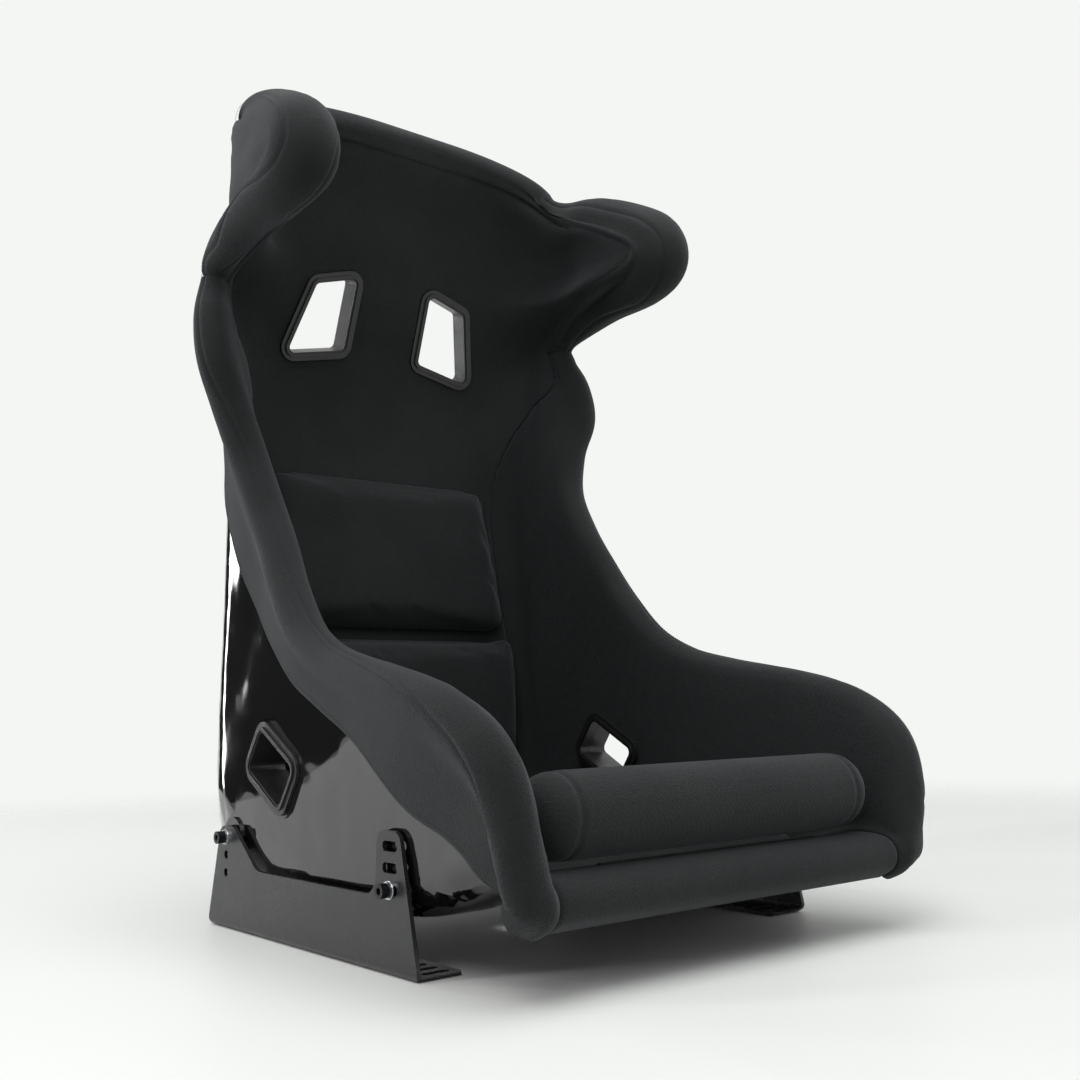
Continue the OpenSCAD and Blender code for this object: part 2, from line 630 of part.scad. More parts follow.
module side_bracket(side) {
  ro = bracket_t + 3;
  inner = plate_x - foot_w;
  bend = concat([for (a = [0 : -15 : -90]) [plate_x - ro + ro * cos(a), ro + ro * sin(a)]],
    [[inner, 0], [inner, bracket_t]],
    [for (a = [-90 : 15 : 0]) [plate_x - ro + 3 * cos(a), ro + 3 * sin(a)]]);
  k = bracket_l / 412;
  color(STEEL) mirror([side < 0 ? 1 : 0, 0, 0]) difference() {
    intersection() {
      union() {
        translate([plate_x - bracket_t, -bracket_l / 2 - 1, ro])
          cube([bracket_t, bracket_l + 2, 140]);
        translate([0, bracket_l / 2 + 1, 0]) rotate([90, 0, 0])
          linear_extrude(bracket_l + 2) polygon(bend);
      }
      translate([inner - 5, 0, 0]) rotate([90, 0, 90]) linear_extrude(foot_w + 10)
        polygon(rounded([for (p = LOBES) [p[0] * k, p[1], p[2]]]));
      translate([0, 0, -1]) linear_extrude(200) polygon(rounded(
        [[inner, -bracket_l / 2, 12], [plate_x + 1, -bracket_l / 2, 0.5],
         [plate_x + 1, bracket_l / 2, 0.5], [inner, bracket_l / 2, 12]]));
    }
    for (i = [0 : 2]) {
      translate([plate_x - 2, BOLT_Y, REAR_BOLT_Z - i * hole_pitch]) rotate([0, 90, 0])
        cylinder(d = hole_d, h = 20, center = true);
      translate([plate_x - 2, -BOLT_Y, FRONT_BOLT_Z + i * hole_pitch])
        rotate([0, 90, 0]) rotate([0, 0, 90]) slot_cut(HEIGHT_SLOT_L, 20);
    }
    for (y = FOOT_SLOT_Y, s = [-1, 1])
      translate([FOOT_SLOT_X, s * y, 2]) slot_cut(FOOT_SLOT_L, 20);
  }
}

module washer(d, hole, t) {
  difference() {
    cylinder(d = d, h = t);
    translate([0, 0, -1]) cylinder(d = hole, h = t + 2);
  }
}

module side_bolts() {
  color(STEEL) for (side = [-1, 1]) at_bolts(side, plate_x + 3.6) difference() {
    union() {
      cylinder(d = 13, h = 8);
      translate([0, 0, -26]) cylinder(d = 8, h = 27);
    }
    translate([0, 0, 3.5]) cylinder(d = 6.93, h = 6, $fn = 6);
  }
}

module spring_washers() {
  color(ZINC) for (side = [-1, 1]) at_bolts(side, plate_x + 1.6) washer(14.8, 8.3, 2);
}

module flat_washers() {
  color(ZINC) for (side = [-1, 1]) at_bolts(side, plate_x) washer(16, 8.3, 1.6);
}

module stand_off_spacers() {
  color(PLASTIC) for (side = [-1, 1]) at_bolts(side, pad_x) washer(18, 8.3, SPACER_T);
}

module threaded_inserts() {
  color(ZINC) for (side = [-1, 1]) at_bolts(side, pad_x) difference() {
    union() {
      translate([0, 0, -14.2]) cylinder(d = 12, h = 14.2);
      translate([0, 0, -14.2]) cylinder(d = 24, h = 2);
    }
    translate([0, 0, -20]) cylinder(d = 8.2, h = 30);
  }
}

seat_shell();
back_cover();
base_cover();
front_lip_cover();
side_bolster(1);  // side_bolster_left
side_bolster(-1);  // side_bolster_right
head_wing_pads();
upper_back_cushion();
lumbar_cushion();
base_cushion();
thigh_roll();
shoulder_bezel(1);  // shoulder_bezel_left
shoulder_bezel(-1);  // shoulder_bezel_right
shoulder_backing_ring(1);  // shoulder_backing_ring_left
shoulder_backing_ring(-1);  // shoulder_backing_ring_right
lap_bezel(1);  // lap_bezel_left
lap_bezel(-1);  // lap_bezel_right
lap_inner_ring(1);  // lap_inner_ring_left
lap_inner_ring(-1);  // lap_inner_ring_right
crotch_bezel();
crotch_backing_ring();
side_bracket(1);  // side_bracket_left
side_bracket(-1);  // side_bracket_right
side_bolts();
spring_washers();
flat_washers();
stand_off_spacers();
threaded_inserts();
upper_hook_strips();
lumbar_hook_strips();
base_hook_strips();
roll_hook_strips();
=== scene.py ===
"""Dresses a fixed-back racing seat with head wings: sewn trim, cushions, shell and stage."""
import math

import bmesh
import bpy
import numpy as np
from mathutils import Matrix, Vector
from mathutils.kdtree import KDTree


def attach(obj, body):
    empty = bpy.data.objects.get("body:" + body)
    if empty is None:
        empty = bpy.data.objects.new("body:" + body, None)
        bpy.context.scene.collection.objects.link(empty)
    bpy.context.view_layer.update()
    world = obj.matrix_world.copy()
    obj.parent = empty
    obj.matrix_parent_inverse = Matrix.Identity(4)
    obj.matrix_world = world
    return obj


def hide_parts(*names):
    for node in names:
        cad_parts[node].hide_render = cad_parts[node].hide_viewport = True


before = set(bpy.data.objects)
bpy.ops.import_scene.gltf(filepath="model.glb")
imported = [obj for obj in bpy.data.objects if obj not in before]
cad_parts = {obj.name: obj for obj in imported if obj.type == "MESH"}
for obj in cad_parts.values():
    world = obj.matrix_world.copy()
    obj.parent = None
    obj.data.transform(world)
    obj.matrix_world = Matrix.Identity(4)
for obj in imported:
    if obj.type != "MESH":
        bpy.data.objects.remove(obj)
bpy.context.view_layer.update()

bl_info = {
    "name": "Racing seat with head wings",
    "version": (1, 0, 0),
    "blender": (4, 5, 0),
    "location": "View3D > Sidebar > Racing seat",
    "description": "Builds the trim, cushions, shell and materials of a fixed-back racing seat",
    "category": "Object",
}

# ---- the seat's surface, in millimetres ----

# Centre y, z | edge x, y, z | wall x, corner length | edge pad's radius, wrap, seam from the centre
CENTRE_Y, CENTRE_Z, EDGE_X, EDGE_Y, EDGE_Z, WALL_X, CORNER, PAD_R, WRAP, SEAM = range(10)
STATIONS = np.array([
    [-326, 60, 236, -324, 65, 228, 10, 18, 30, 219],
    [-342, 70, 240, -344, 76, 231, 12, 18, 40, 219],
    [-338, 83, 245, -343, 95, 236, 16, 19, 55, 219],
    [-310, 86, 251, -338, 145, 241, 26, 21, 85, 219],
    [-275, 80, 256, -318, 190, 243, 28, 22, 100, 218],
    [-230, 66, 259, -268, 222, 242, 28, 22, 105, 216],
    [-165, 50, 257, -198, 241, 239, 24, 22, 100, 214],
    [-70, 45, 250, -115, 256, 239, 26, 22, 60, 214],
    [30, 45, 244, -48, 273, 239, 30, 22, 48, 210],
    [140, 48, 239, 8, 302, 238, 36, 22, 52, 206],
    [222, 82, 234, 54, 350, 236, 46, 22, 62, 206],
    [250, 155, 229, 90, 400, 231, 60, 22, 74, 208],
    [257, 270, 228, 126, 452, 227, 70, 22, 84, 204],
    [265, 390, 232, 157, 510, 223, 72, 22, 90, 188],
    [273, 500, 248, 168, 570, 225, 84, 22, 95, 184],
    [279, 590, 267, 166, 620, 230, 104, 22, 95, 222],
    [277, 645, 269, 175, 664, 236, 124, 21, 95, 282],
    [268, 690, 262, 190, 704, 242, 142, 20, 90, 280],
    [254, 724, 259, 184, 738, 244, 150, 22, 85, 268],
    [243, 754, 261, 104, 766, 244, 142, 26, 90, 312],
    [234, 780, 259, 26, 778, 244, 130, 33, 95, 352],
    [225, 805, 256, -7, 795, 244, 120, 38, 100, 368],
    [214, 834, 254, -3, 822, 243, 114, 38, 100, 358],
    [201, 866, 250, 33, 846, 241, 112, 37, 95, 320],
    [187, 900, 243, 85, 869, 236, 114, 34, 80, 270],
    [177, 924, 229, 131, 884, 223, 124, 28, 60, 222],
    [169, 944, 203, 152, 896, 195, 150, 19, 40, 186]], float)
LAST = len(STATIONS) - 1
FLAT_STEPS, ARC_STEPS, WALL_STEPS = 4, 12, 12
# Stations where the bolsters, the lip's cover and the base's cover end
NECK, LIP_END, BASE_END = 17.5, 4, 10.5
# Rows of the head padding for each row of its path
HEAD_DENSE = 4
# Columns of the head padding that lie inside the strip seam, and from the cap seam on
INNER_COLS, OUTER_COLS = 14, 34
# Rows on each side that the head padding's folds are evened out over, the row from which
# that starts, and the row where it stops outside
RELAX_REACH, RELAX_FROM, RELAX_TO = 18, 30, 84
SHELL_T, TRIM_GAP = 5.0, 0.7
# Foam under the trim of the sides, the back, the base and the lip
SIDE_FOAM, BACK_FOAM, BASE_FOAM, LIP_FOAM = 12, 12, 5, 9.5
# Most extra foam inside the wings and towards the top edge
WING_FOAM, CROWN_FOAM = 23, 5
# How far a cover's edge turns down into its seam, and from what distance
EDGE_TURN, EDGE_RUN = 2.6, 5
# Thickness at the hem, and the distance over which it tapers
HEM_T, HEM_RUN = 0.8, 6
# The edge pad's centre lies in the middle of the shell's thickness
EDGE_MID = SHELL_T / 2
# Depth of a drawn-in seam, and how far stitches stand off the cloth
SEAM_DEPTH, STITCH_LIFT = 1.3, 0.15

# Path of the head padding: places [u, share of the half section] of seam, rim and hem
HEAD_PATH = [
    (18.3, .9, 18, 1, 18.1, .66), (19, .87, 18.5, 1, 18.5, .62),
    (19.7, .845, 19, 1, 19.1, .59), (20.3, .87, 19.5, 1, 19.7, .57),
    (20.8, .915, 20, 1, 20.3, .56), (21.15, .945, 20.5, 1, 20.8, .55),
    (21.33, .955, 21, 1, 21.3, .55), (21.45, .955, 21.5, 1, 21.8, .55),
    (21.65, .95, 22, 1, 22.2, .55), (21.98, .935, 22.5, 1, 22.6, .55),
    (22.4, .914, 23, 1, 22.9, .55), (22.83, .888, 23.5, 1, 23.25, .55),
    (23.2, .854, 24, 1, 23.55, .55), (23.5, .815, 24.5, 1, 23.85, .55),
    (23.78, .77, 25, 1, 24.05, .555), (24.07, .728, 25.5, 1, 24.25, .54),
    (24.35, .695, 26, 1, 24.4, .52), (24.66, .69, 26, .93, 24.5, .5),
    (24.9, .67, 26, .86, 24.6, .48), (25.02, .635, 26, .79, 24.65, .45),
    (25.1, .57, 26, .7, 24.7, .4), (25.15, .455, 26, .54, 24.7, .31),
    (25.18, .31, 26, .36, 24.7, .205), (25.2, .155, 26, .18, 24.7, .1),
    (25.2, 0, 26, 0, 24.7, 0)]

# Seams of the head padding: row of the path, then place across the row
STRIP = ([0, 2.75, 4.75, 6.5, 7.75, 9, 11.75, 14.5, 18.5, 20, 25],
         [1.3, 1.26, 1.38, 1.32, 1.26, 1.18, 1.16, 1.22, 1.3, 1.45, 1.6])
CAP = ([0, 2, 3, 4, 5, 6.5, 7.5, 9.25, 11.75, 13.5, 15, 17, 25],
       [1.68, 1.75, 1.95, 2, 1.9, 1.82, 1.78, 1.78, 1.74, 1.84, 1.95, 2.1, 2.1])

# Slots: outlines in their own planes, anticlockwise
SHOULDER_AT, SHOULDER_LEAN, SHOULDER_TURN = (91, 241, 722), 21, 2.5
SHOULDER_HOLE = [(-34, -38), (46, -54), (21, 38), (-35, 54)]
# Back of the shoulder slot's pad; a lap slot's middle, outer face and inner ring
SHOULDER_BACK = -21
LAP_AT, LAP_FACE, LAP_INNER = (68, 170), 246, 213
LAP_HOLE = [(20, 38), (-48, 1), (-20, -38), (48, -1)]
CROTCH_AT = (0, -60, 45)
CROTCH_HOLE = [(-42, -14), (42, -14), (42, 14), (-42, 14)]
# Width of a bezel's rim, thickness of its sleeve, radius of a slot's corners
BEZEL_RIM, SLEEVE_T, SLOT_R = 11, 2.5, 7
THROUGH = SLEEVE_T + 0.6
# Bolts of a side: y and z; the outer face of their pads
BOLTS = [(162.5, 95.3), (-162.5, 72.6)]
BOSS_X = 245

# name: stations, half widths, height of the underside, side height, crown
CUSHIONS = {
    "upper_back_cushion": (12.45, 14.2, 192, 160, 15.4, 6.5, 17),
    "lumbar_cushion": (11.02, 12.37, 196, 196, 15.4, 13, 33),
    "base_cushion": (4.6, 9.25, 204, 198, 8.4, 13, 31),
}
# Thigh roll: radius, half length, end seam and centre
THIGH_R, THIGH_HALF, THIGH_SEAM, THIGH_AT = 37.2, 210, 179, np.array([0, -300, 138])
CLOTH_FRAMES = 20

# Stage, in metres and degrees
CAMERA_AT, CAMERA_LENS = (-0.84203, -1.0986, 0.23072), 41.12
CAMERA_YAW, CAMERA_PITCH, CAMERA_ROLL = (math.radians(v) for v in (39.284, 7.523, -1.122))
FLOOR_RINGS, FLOOR_SIDES = (0.5, 1.0, 1.5, 2.0, 2.5, 3.0, 3.6), 96
# Screens beside the seat: first and last degree, from straight behind it towards its right side
SCREENS = ((2, 17), (21, 43), (46, 70), (78, 118))
# Strips of light between the screens: degree and width
STRIPS = ((19, 0.14), (44.5, 0.1), (74, 0.3))


def unit(v):
    return v / np.linalg.norm(v)


def mix(a, b, t):
    return a + (b - a) * t


def ease(t):
    k = min(max(t, 0.0), 1.0)
    return k * k * (3 - 2 * k)


def catmull(p, q, r, s, t):
    return 0.5 * (2 * q + (r - p) * t + (2 * p - 5 * q + 4 * r - s) * t * t
                  + (3 * q - p - 3 * r + s) * t ** 3)


def station(u):
    i = max(min(int(math.floor(u)), LAST - 1), 0)
    return catmull(STATIONS[max(i - 1, 0)], STATIONS[i], STATIONS[i + 1],
                   STATIONS[min(i + 2, LAST)], u - i)


class Part:
    """One cross-section of the inner face: station, half outline and running length."""

    def __init__(self, u):
        s = self.s = station(u)
        self.h = h = math.hypot(s[EDGE_Y] - s[CENTRE_Y], s[EDGE_Z] - s[CENTRE_Z])
        foot, edge, rx = s[WALL_X], s[EDGE_X], s[CORNER]
        rv = min(rx, 0.62 * h)
        wall = h - rv
        p = np.array([[foot, rv], [foot, rv + 0.4 * wall],
                      [edge - 0.3 * (edge - foot), h - 0.35 * wall], [edge, h]])
        pts = [((foot - rx) * k / FLAT_STEPS, 0) for k in range(FLAT_STEPS)]
        for k in range(ARC_STEPS):
            a = math.pi / 2 * k / ARC_STEPS
            pts.append((foot - rx + rx * math.sin(a), rv - rv * math.cos(a)))
        for k in range(WALL_STEPS + 1):
            t = k / WALL_STEPS
            pts.append(tuple((1 - t) ** 3 * p[0] + 3 * t * (1 - t) ** 2 * p[1]
                             + 3 * t * t * (1 - t) * p[2] + t ** 3 * p[3]))
        self.c = np.array(pts)
        self.run = np.concatenate([[0], np.cumsum(np.hypot(*np.diff(self.c, axis=0).T))])
        self.whole = self.run[-1]

    def flat(self, d):
        i = min(max(int(np.searchsorted(self.run, d)), 1), len(self.run) - 1)
        k = (d - self.run[i - 1]) / (self.run[i] - self.run[i - 1])
        return self.c[i - 1] + (self.c[i] - self.c[i - 1]) * k

    def place(self, q):
        s = self.s
        return np.array([q[0], s[CENTRE_Y] + q[1] * (s[EDGE_Y] - s[CENTRE_Y]) / self.h,
                         s[CENTRE_Z] + q[1] * (s[EDGE_Z] - s[CENTRE_Z]) / self.h])

    def at(self, d):
        return self.place(self.flat(d))


_slices = {}


def slice_at(u):
    key = round(u, 5)
    if key not in _slices:
        v = min(max(u, 0.05), LAST - 0.05)
        _slices[key] = (Part(v - 0.05), Part(u), Part(v + 0.05))
    return _slices[key]


def face(u, d):
    """Point, normal into the seat, and directions out over the side and over the top."""
    before, part, after = slice_at(u)
    whole = part.whole
    a = max(min(d, whole - 4), 0)
    ratio = d / whole
    q1, q0 = part.flat(min(a + 4, whole)), part.flat(max(a - 4, 0))
    td = part.place(q1) - part.place(q0)
    tu = after.at(ratio * after.whole) - before.at(ratio * before.whole)
    t = unit(q1 - q0)
    spine = after.at(0) - before.at(0)
    n0 = unit(np.cross([1, 0, 0], spine))
    straight = t[0] * n0 - np.array([t[1], 0, 0])
    n = unit(mix(unit(np.cross(td, tu)), straight, ease((u - 17.4) / 1.2)))
    return part.at(d), n, unit(np.cross(tu, n)), unit(np.cross(n, td))


def spot(u, f):
    return face(u, f * slice_at(u)[1].whole)


def lifted(g, o):
    return g[0] + o * g[1]


def full(u):
    """How much of the wings' full roundness a station has, from 0 to 1."""
    return ease((u - 18.2) / 2) * ease((LAST + 1 - u) / 2.6)


def wing_foam(u):
    """Extra foam on the inner faces of the wings."""
    return WING_FOAM * ease((u - 18) / 2.6) * ease((25.4 - u) / 2.4)


def crown_foam(u):
    """Extra foam towards the top edge."""
    return CROWN_FOAM * ease((u - 22.5) / 2.5)


# Seam along the bolster's crest: station, then place across the row
CREST = ([0, 1, 2.5, 3.5, 4.25, 5, 5.75, 6.75, 8.5, 9.5, 10.75, 11.75, 13.25, 14, 17.5],
         [2.2, 2.2, 2.15, 2.08, 2.02, 1.92, 1.74, 1.62, 1.54, 1.56, 1.64, 1.68, 1.68, 1.64, 1.68])


def neck_draw(u):
    """Slimmer edge where the bolster and the head wing are sewn together."""
    return 5 * math.exp(-((u - NECK - 0.1) / 0.9) ** 2) + 1.5 * math.exp(-((u - NECK) / 0.25) ** 2)


class Rim:
    """A row of trim from its seam over the shell's edge to its hem.

    Places across the row run 0 to 1 on the inside, 1 to 2 round the edge, 2 to 3 outside.
    Each seam is a pair: its place and how deep it is drawn in. A row is given as the
    stations and shares of its seam, rim and hem.
    """

    def __init__(self, row, seams, along=None, fuller=0.0):
        self.row, self.seams = row, seams
        us, fs, ur, fr, uh, fh = row
        g = spot(ur, fr)
        self.p, self.n, self.c = g[:3]
        if along is not None:
            self.n = unit(self.n - (self.n @ along) * along)
            self.c = np.cross(along, self.n)
        self.r = station(ur)[PAD_R] - 1.5 * ease((2 - ur) / 1.5) - neck_draw(ur) + fuller
        self.o = self.p - EDGE_MID * self.n
        self.top = self.r - EDGE_MID
        self.start = SIDE_FOAM + wing_foam(us) + crown_foam(us)
        self.bow = 2.5 * ease((26 - ur) / 2)
        self.full = full(ur)
        self.joined = ur < NECK
        self.gap = TRIM_GAP + 0.8 * self.full
        self.arc_mm = math.pi * self.r
        self.in_mm = max(np.linalg.norm(spot(us, fs)[0] - self.p), 4)
        self.out_mm = max(np.linalg.norm(spot(uh, fh)[0] - self.p), 4)

    def inner_place(self, t):
        us, fs, ur, fr = self.row[:4]
        return spot(mix(us, ur, t), mix(fs, fr, t))

    def outer_place(self, k):
        ur, fr, uh, fh = self.row[2:6]
        return spot(mix(ur, uh, k), mix(fr, fh, k))

    def outer_depth(self, k):
        plain = mix(self.top, 3 + 0.5 * self.top * (1 - k), ease(k / 0.35))
        deep = mix(self.top, self.r * (1.03 - 0.71 * k ** 2.5), ease(k / 0.25))
        d = mix(plain, deep, self.full)
        mm = (1 - k) * self.out_mm
        if mm < HEM_RUN:
            d = HEM_T + (d - HEM_T) * math.sqrt(max(1 - (1 - mm / HEM_RUN) ** 2, 0))
        return d

    def front(self, p, lift=0.0):
        if p <= 1:
            h = mix(self.start, self.top, ease(p)) + self.bow * math.sin(math.pi * p) ** 2
            mm = p * self.in_mm
            if mm < EDGE_RUN and self.joined:
                h -= EDGE_TURN * (1 - mm / EDGE_RUN) ** 2
            g = self.inner_place(p)
            return g[0] + (h + lift) * unit(mix(g[1], self.n, ease(p)))
        if p <= 2:
            a = math.pi * (p - 1)
            return self.o + (self.r + lift) * (math.cos(a) * self.n + math.sin(a) * self.c)
        g = self.outer_place(p - 2)
        depth = SHELL_T + self.outer_depth(p - 2) + lift
        return g[0] - depth * unit(mix(self.n, g[1], ease((p - 2) * 1.5)))

    def back(self, p):
        low = SHELL_T + self.gap
        if p <= 1:
            return lifted(self.inner_place(p), self.gap)
        if p <= 2:
            c = [self.gap * (self.n + self.c), self.gap * self.c - EDGE_MID * self.n,
                 self.gap * self.c - low * self.n]
            t = (p - 1) * 2
            i = min(int(t), 1)
            return self.p + mix(c[i], c[i + 1], t - i)
        return lifted(self.outer_place(p - 2), -low)

    def moved(self, p, mm):
        """The place mm further out than the place p, measured on the surface."""
        for high, size in ((1, self.in_mm), (2, self.arc_mm), (3, self.out_mm)):
            if p < high or high == 3:
                left = (high - p) * size
                if mm <= left or high == 3:
                    return p + mm / size
                p, mm = high, mm - left
        return p

    def grooved(self, p, width=2.2):
        """The front at p, drawn in along the seams."""
        sink = 0.0
        for place, depth in self.seams:
            size = self.in_mm if p < 1 else self.arc_mm if p < 2 else self.out_mm
            sink += depth * math.exp(-((p - place) * size / width) ** 2)
        return self.front(p, -sink)


def side_row(u):
    part = slice_at(u)[1]
    return (u, part.s[SEAM] / part.whole, u, 1, u, 1 - part.s[WRAP] / part.whole)


def rim_rows(rows, dense):
    """Rows made denser along their path, each number running on smoothly."""
    rows = [np.array(r, float) for r in rows]
    out = []
    for i in range(len(rows) - 1):
        p, q, r, s = rows[max(i - 1, 0)], rows[i], rows[i + 1], rows[min(i + 2, len(rows) - 1)]
        for k in range(dense):
            out.append(catmull(p, q, r, s, k / dense))
    out.append(rows[-1])
    return np.array(out)


def softened(rows, reach):
    """The rows averaged with their neighbours along the path, its ends kept."""
    w = np.exp(-np.linspace(-2, 2, 2 * reach + 1) ** 2)
    long = np.concatenate([2 * rows[0] - rows[reach:0:-1], rows,
                           2 * rows[-1] - rows[-2:-2 - reach:-1]])
    return np.array([np.convolve(col, w / w.sum(), "valid") for col in long.T]).T


_head = []


def head_rows():
    """Path of the head padding, close together and rounded at the wing's upper corner."""
    if not _head:
        rows = rim_rows([side_row(NECK + .02)] + HEAD_PATH, HEAD_DENSE)
        near, far = softened(rows, 3), softened(rows, 14)
        for k, row in enumerate(near):
            t = ease((k / HEAD_DENSE - 9) / 4)
            row[:] = mix(row, far[k], t)
        near[:, 1::2] = np.clip(near[:, 1::2], 0, 1)
        near[:, 0::2] = np.minimum(near[:, 0::2], LAST)
        _head.extend(near)
    return _head


def head_seams(t):
    """Strip seam and cap seam at the row t of the head path."""
    fade = ease((19.5 - t) / 2)
    return [(float(np.interp(t, *line)), SEAM_DEPTH * fade) for line in (STRIP, CAP)]


def seam_columns(seams):
    """Places across a row, close together on both sides of each seam."""
    first = np.array([0, .02, .05, .12, .22, .33, .44, .55, .66, .77, .88, .95, 1.05, 1.15])
    last = np.array([2, 2.04, 2.09, 2.16, 2.26, 2.38, 2.52, 2.66, 2.8, 2.9, 2.95, 2.98, 3])
    fine = np.array([-.07, -.045, -.028, -.014, 0, .014, .028, .045, .07])
    at = [seam[0] for seam in seams]
    out = list(first * (at[0] - .1) / first[-1])
    for k, place in enumerate(at):
        out += list(place + fine)
        if k + 1 < len(at):
            out += list(np.linspace(place + .1, at[k + 1] - .1, 7))
    end = at[-1] + .1
    bend = list(np.linspace(end, max(2.0, end + .02), 6))[:-1] if end < 2.02 else list(
        end + np.arange(5) * .012)
    start = max(2.0, end + .02) if end < 2.02 else end + .06
    return out + bend + list(3 - (3 - last) * (3 - start))


# ---- meshes ----

def mesh_object(name, verts, faces, scale=0.001):
    mesh = bpy.data.meshes.new(name)
    mesh.from_pydata([tuple(np.asarray(v) * scale) for v in verts], [], faces)
    mesh.update()
    obj = bpy.data.objects.new(name, mesh)
    bpy.context.scene.collection.objects.link(obj)
    return obj


def tidy_mesh(obj, smooth=True, angle=None, merge=1e-5):
    bm = bmesh.new()
    bm.from_mesh(obj.data)
    if merge:
        bmesh.ops.remove_doubles(bm, verts=bm.verts, dist=merge)
        bmesh.ops.dissolve_degenerate(bm, edges=bm.edges, dist=1e-6)
    bmesh.ops.recalc_face_normals(bm, faces=bm.faces)
    bm.to_mesh(obj.data)
    bm.free()
    obj.data.polygons.foreach_set("use_smooth", [smooth] * len(obj.data.polygons))
    if angle is not None:
        obj.data.set_sharp_from_angle(angle=math.radians(angle))
    return obj


def slab(name, front, back):
    """A closed solid between two grids of equal size."""
    rows, cols = len(front), len(front[0])
    size = rows * cols
    verts = [p for row in front for p in row] + [p for row in back for p in row]

    def vid(g, i, j):
        return g * size + i * cols + j
    faces = []
    for i in range(rows - 1):
        for j in range(cols - 1):
            faces.append((vid(0, i, j), vid(0, i, j + 1), vid(0, i + 1, j + 1), vid(0, i + 1, j)))
            faces.append((vid(1, i + 1, j), vid(1, i + 1, j + 1), vid(1, i, j + 1), vid(1, i, j)))
        for j in (0, cols - 1):
            a = (vid(0, i, j), vid(0, i + 1, j), vid(1, i + 1, j), vid(1, i, j))
            faces.append(a if j == 0 else a[::-1])
    for j in range(cols - 1):
        for i in (0, rows - 1):
            a = (vid(0, i, j), vid(1, i, j), vid(1, i, j + 1), vid(0, i, j + 1))
            faces.append(a if i == 0 else a[::-1])
    return mesh_object(name, verts, faces)


def mirrored(row):
    return [np.asarray(p) * (-1, 1, 1) for p in row]


def evaluated_mesh(obj):
    bpy.context.view_layer.update()
    graph = bpy.context.evaluated_depsgraph_get()
    return bpy.data.meshes.new_from_object(obj.evaluated_get(graph))


def take_result(obj):
    """The evaluated mesh becomes the object's own and its modifiers go."""
    mesh = evaluated_mesh(obj)
    old = obj.data
    obj.modifiers.clear()
    obj.data = mesh
    bpy.data.meshes.remove(old)
    return obj


def remove(*objs):
    for obj in objs:
        data = obj.data
        bpy.data.objects.remove(obj, do_unlink=True)
        if isinstance(data, bpy.types.Mesh):
            bpy.data.meshes.remove(data)
        elif isinstance(data, bpy.types.Curve):
            bpy.data.curves.remove(data)


def boolean(obj, others, operation="DIFFERENCE"):
    for other in others:
        m = obj.modifiers.new("cut", "BOOLEAN")
        m.operation = operation
        m.solver = "EXACT"
        m.object = other
    take_result(obj)
    remove(*others)
    return obj


# ---- slot outlines ----

def rounded(poly, grow, n=8):
    """The outline with its corners rounded by SLOT_R, then made grow larger all round."""
    out = []
    m = len(poly)
    for i in range(m):
        p, q, s = (np.array(poly[(i + k) % m], float) for k in (-1, 0, 1))
        d0, d1 = unit(q - p), unit(s - q)
        a, b = np.array([d0[1], -d0[0]]), np.array([d1[1], -d1[0]])
        c = q - SLOT_R / (1 + a @ b) * (a + b)
        t = math.atan2(a[1], a[0])
        d = math.atan2(a[0] * b[1] - a[1] * b[0], a @ b)
        for k in range(n + 1):
            w = t + d * k / n
            out.append(c + (SLOT_R + grow) * np.array([math.cos(w), math.sin(w)]))
    return out


def turned(axis, degrees):
    return np.array(Matrix.Rotation(math.radians(degrees), 3, axis))


def shoulder_frame(side):
    m = turned("X", 90 + SHOULDER_LEAN) @ turned("Y", -SHOULDER_TURN)
    at = np.array(SHOULDER_AT, float)
    return lambda p: (m @ np.asarray(p, float) + at) * (side, 1, 1)


def lap_frame(side):
    return lambda p: np.array([side * p[2], LAP_AT[0] + p[0], LAP_AT[1] + p[1]])


def crotch_frame():
    return lambda p: np.array([CROTCH_AT[k] + p[k] for k in range(3)])


def prism(name, outline, place, low, high):
    verts = [place((q[0], q[1], z)) for z in (low, high) for q in outline]
    n = len(outline)
    faces = [tuple(range(n))[::-1], tuple(range(n, 2 * n))]
    faces += [(k, (k + 1) % n, n + (k + 1) % n, n + k) for k in range(n)]
    return tidy_mesh(mesh_object(name, verts, faces), smooth=False, merge=0)


def slot_block(hole, grow, place, low, high):
    """A block of a slot's outline made grow larger, to add or to cut away."""
    return prism("block", rounded(hole, grow), place, low, high)


def round_bar(place, radius, low, high, n=48):
    """A round bar, to add or to cut away."""
    ring = [(radius * math.cos(2 * math.pi * k / n), radius * math.sin(2 * math.pi * k / n))
            for k in range(n)]
    return prism("bar", ring, place, low, high)


def bolt_frame(side, y, z):
    return lambda p: np.array([side * p[2], y + p[0], z + p[1]])


# ---- materials ----

def node_group(name, inputs, outputs):
    tree = bpy.data.node_groups.new(name, "ShaderNodeTree")
    for label, kind, value in inputs:
        sock = tree.interface.new_socket(label, in_out="INPUT", socket_type=kind)
        if value is not None:
            sock.default_value = value
    for label, kind in outputs:
        tree.interface.new_socket(label, in_out="OUTPUT", socket_type=kind)
    return tree, tree.nodes.new("NodeGroupInput"), tree.nodes.new("NodeGroupOutput")


def feed(tree, socket, value):
    """Sets a socket to a number, or links it to an output."""
    if isinstance(value, (int, float)):
        socket.default_value = value
    else:
        tree.links.new(value, socket)


def preset(node, **values):
    """Sets a node's own inputs, named with underscores for their spaces."""
    for k, v in values.items():
        node.inputs[k.replace("_", " ")].default_value = v
    return node


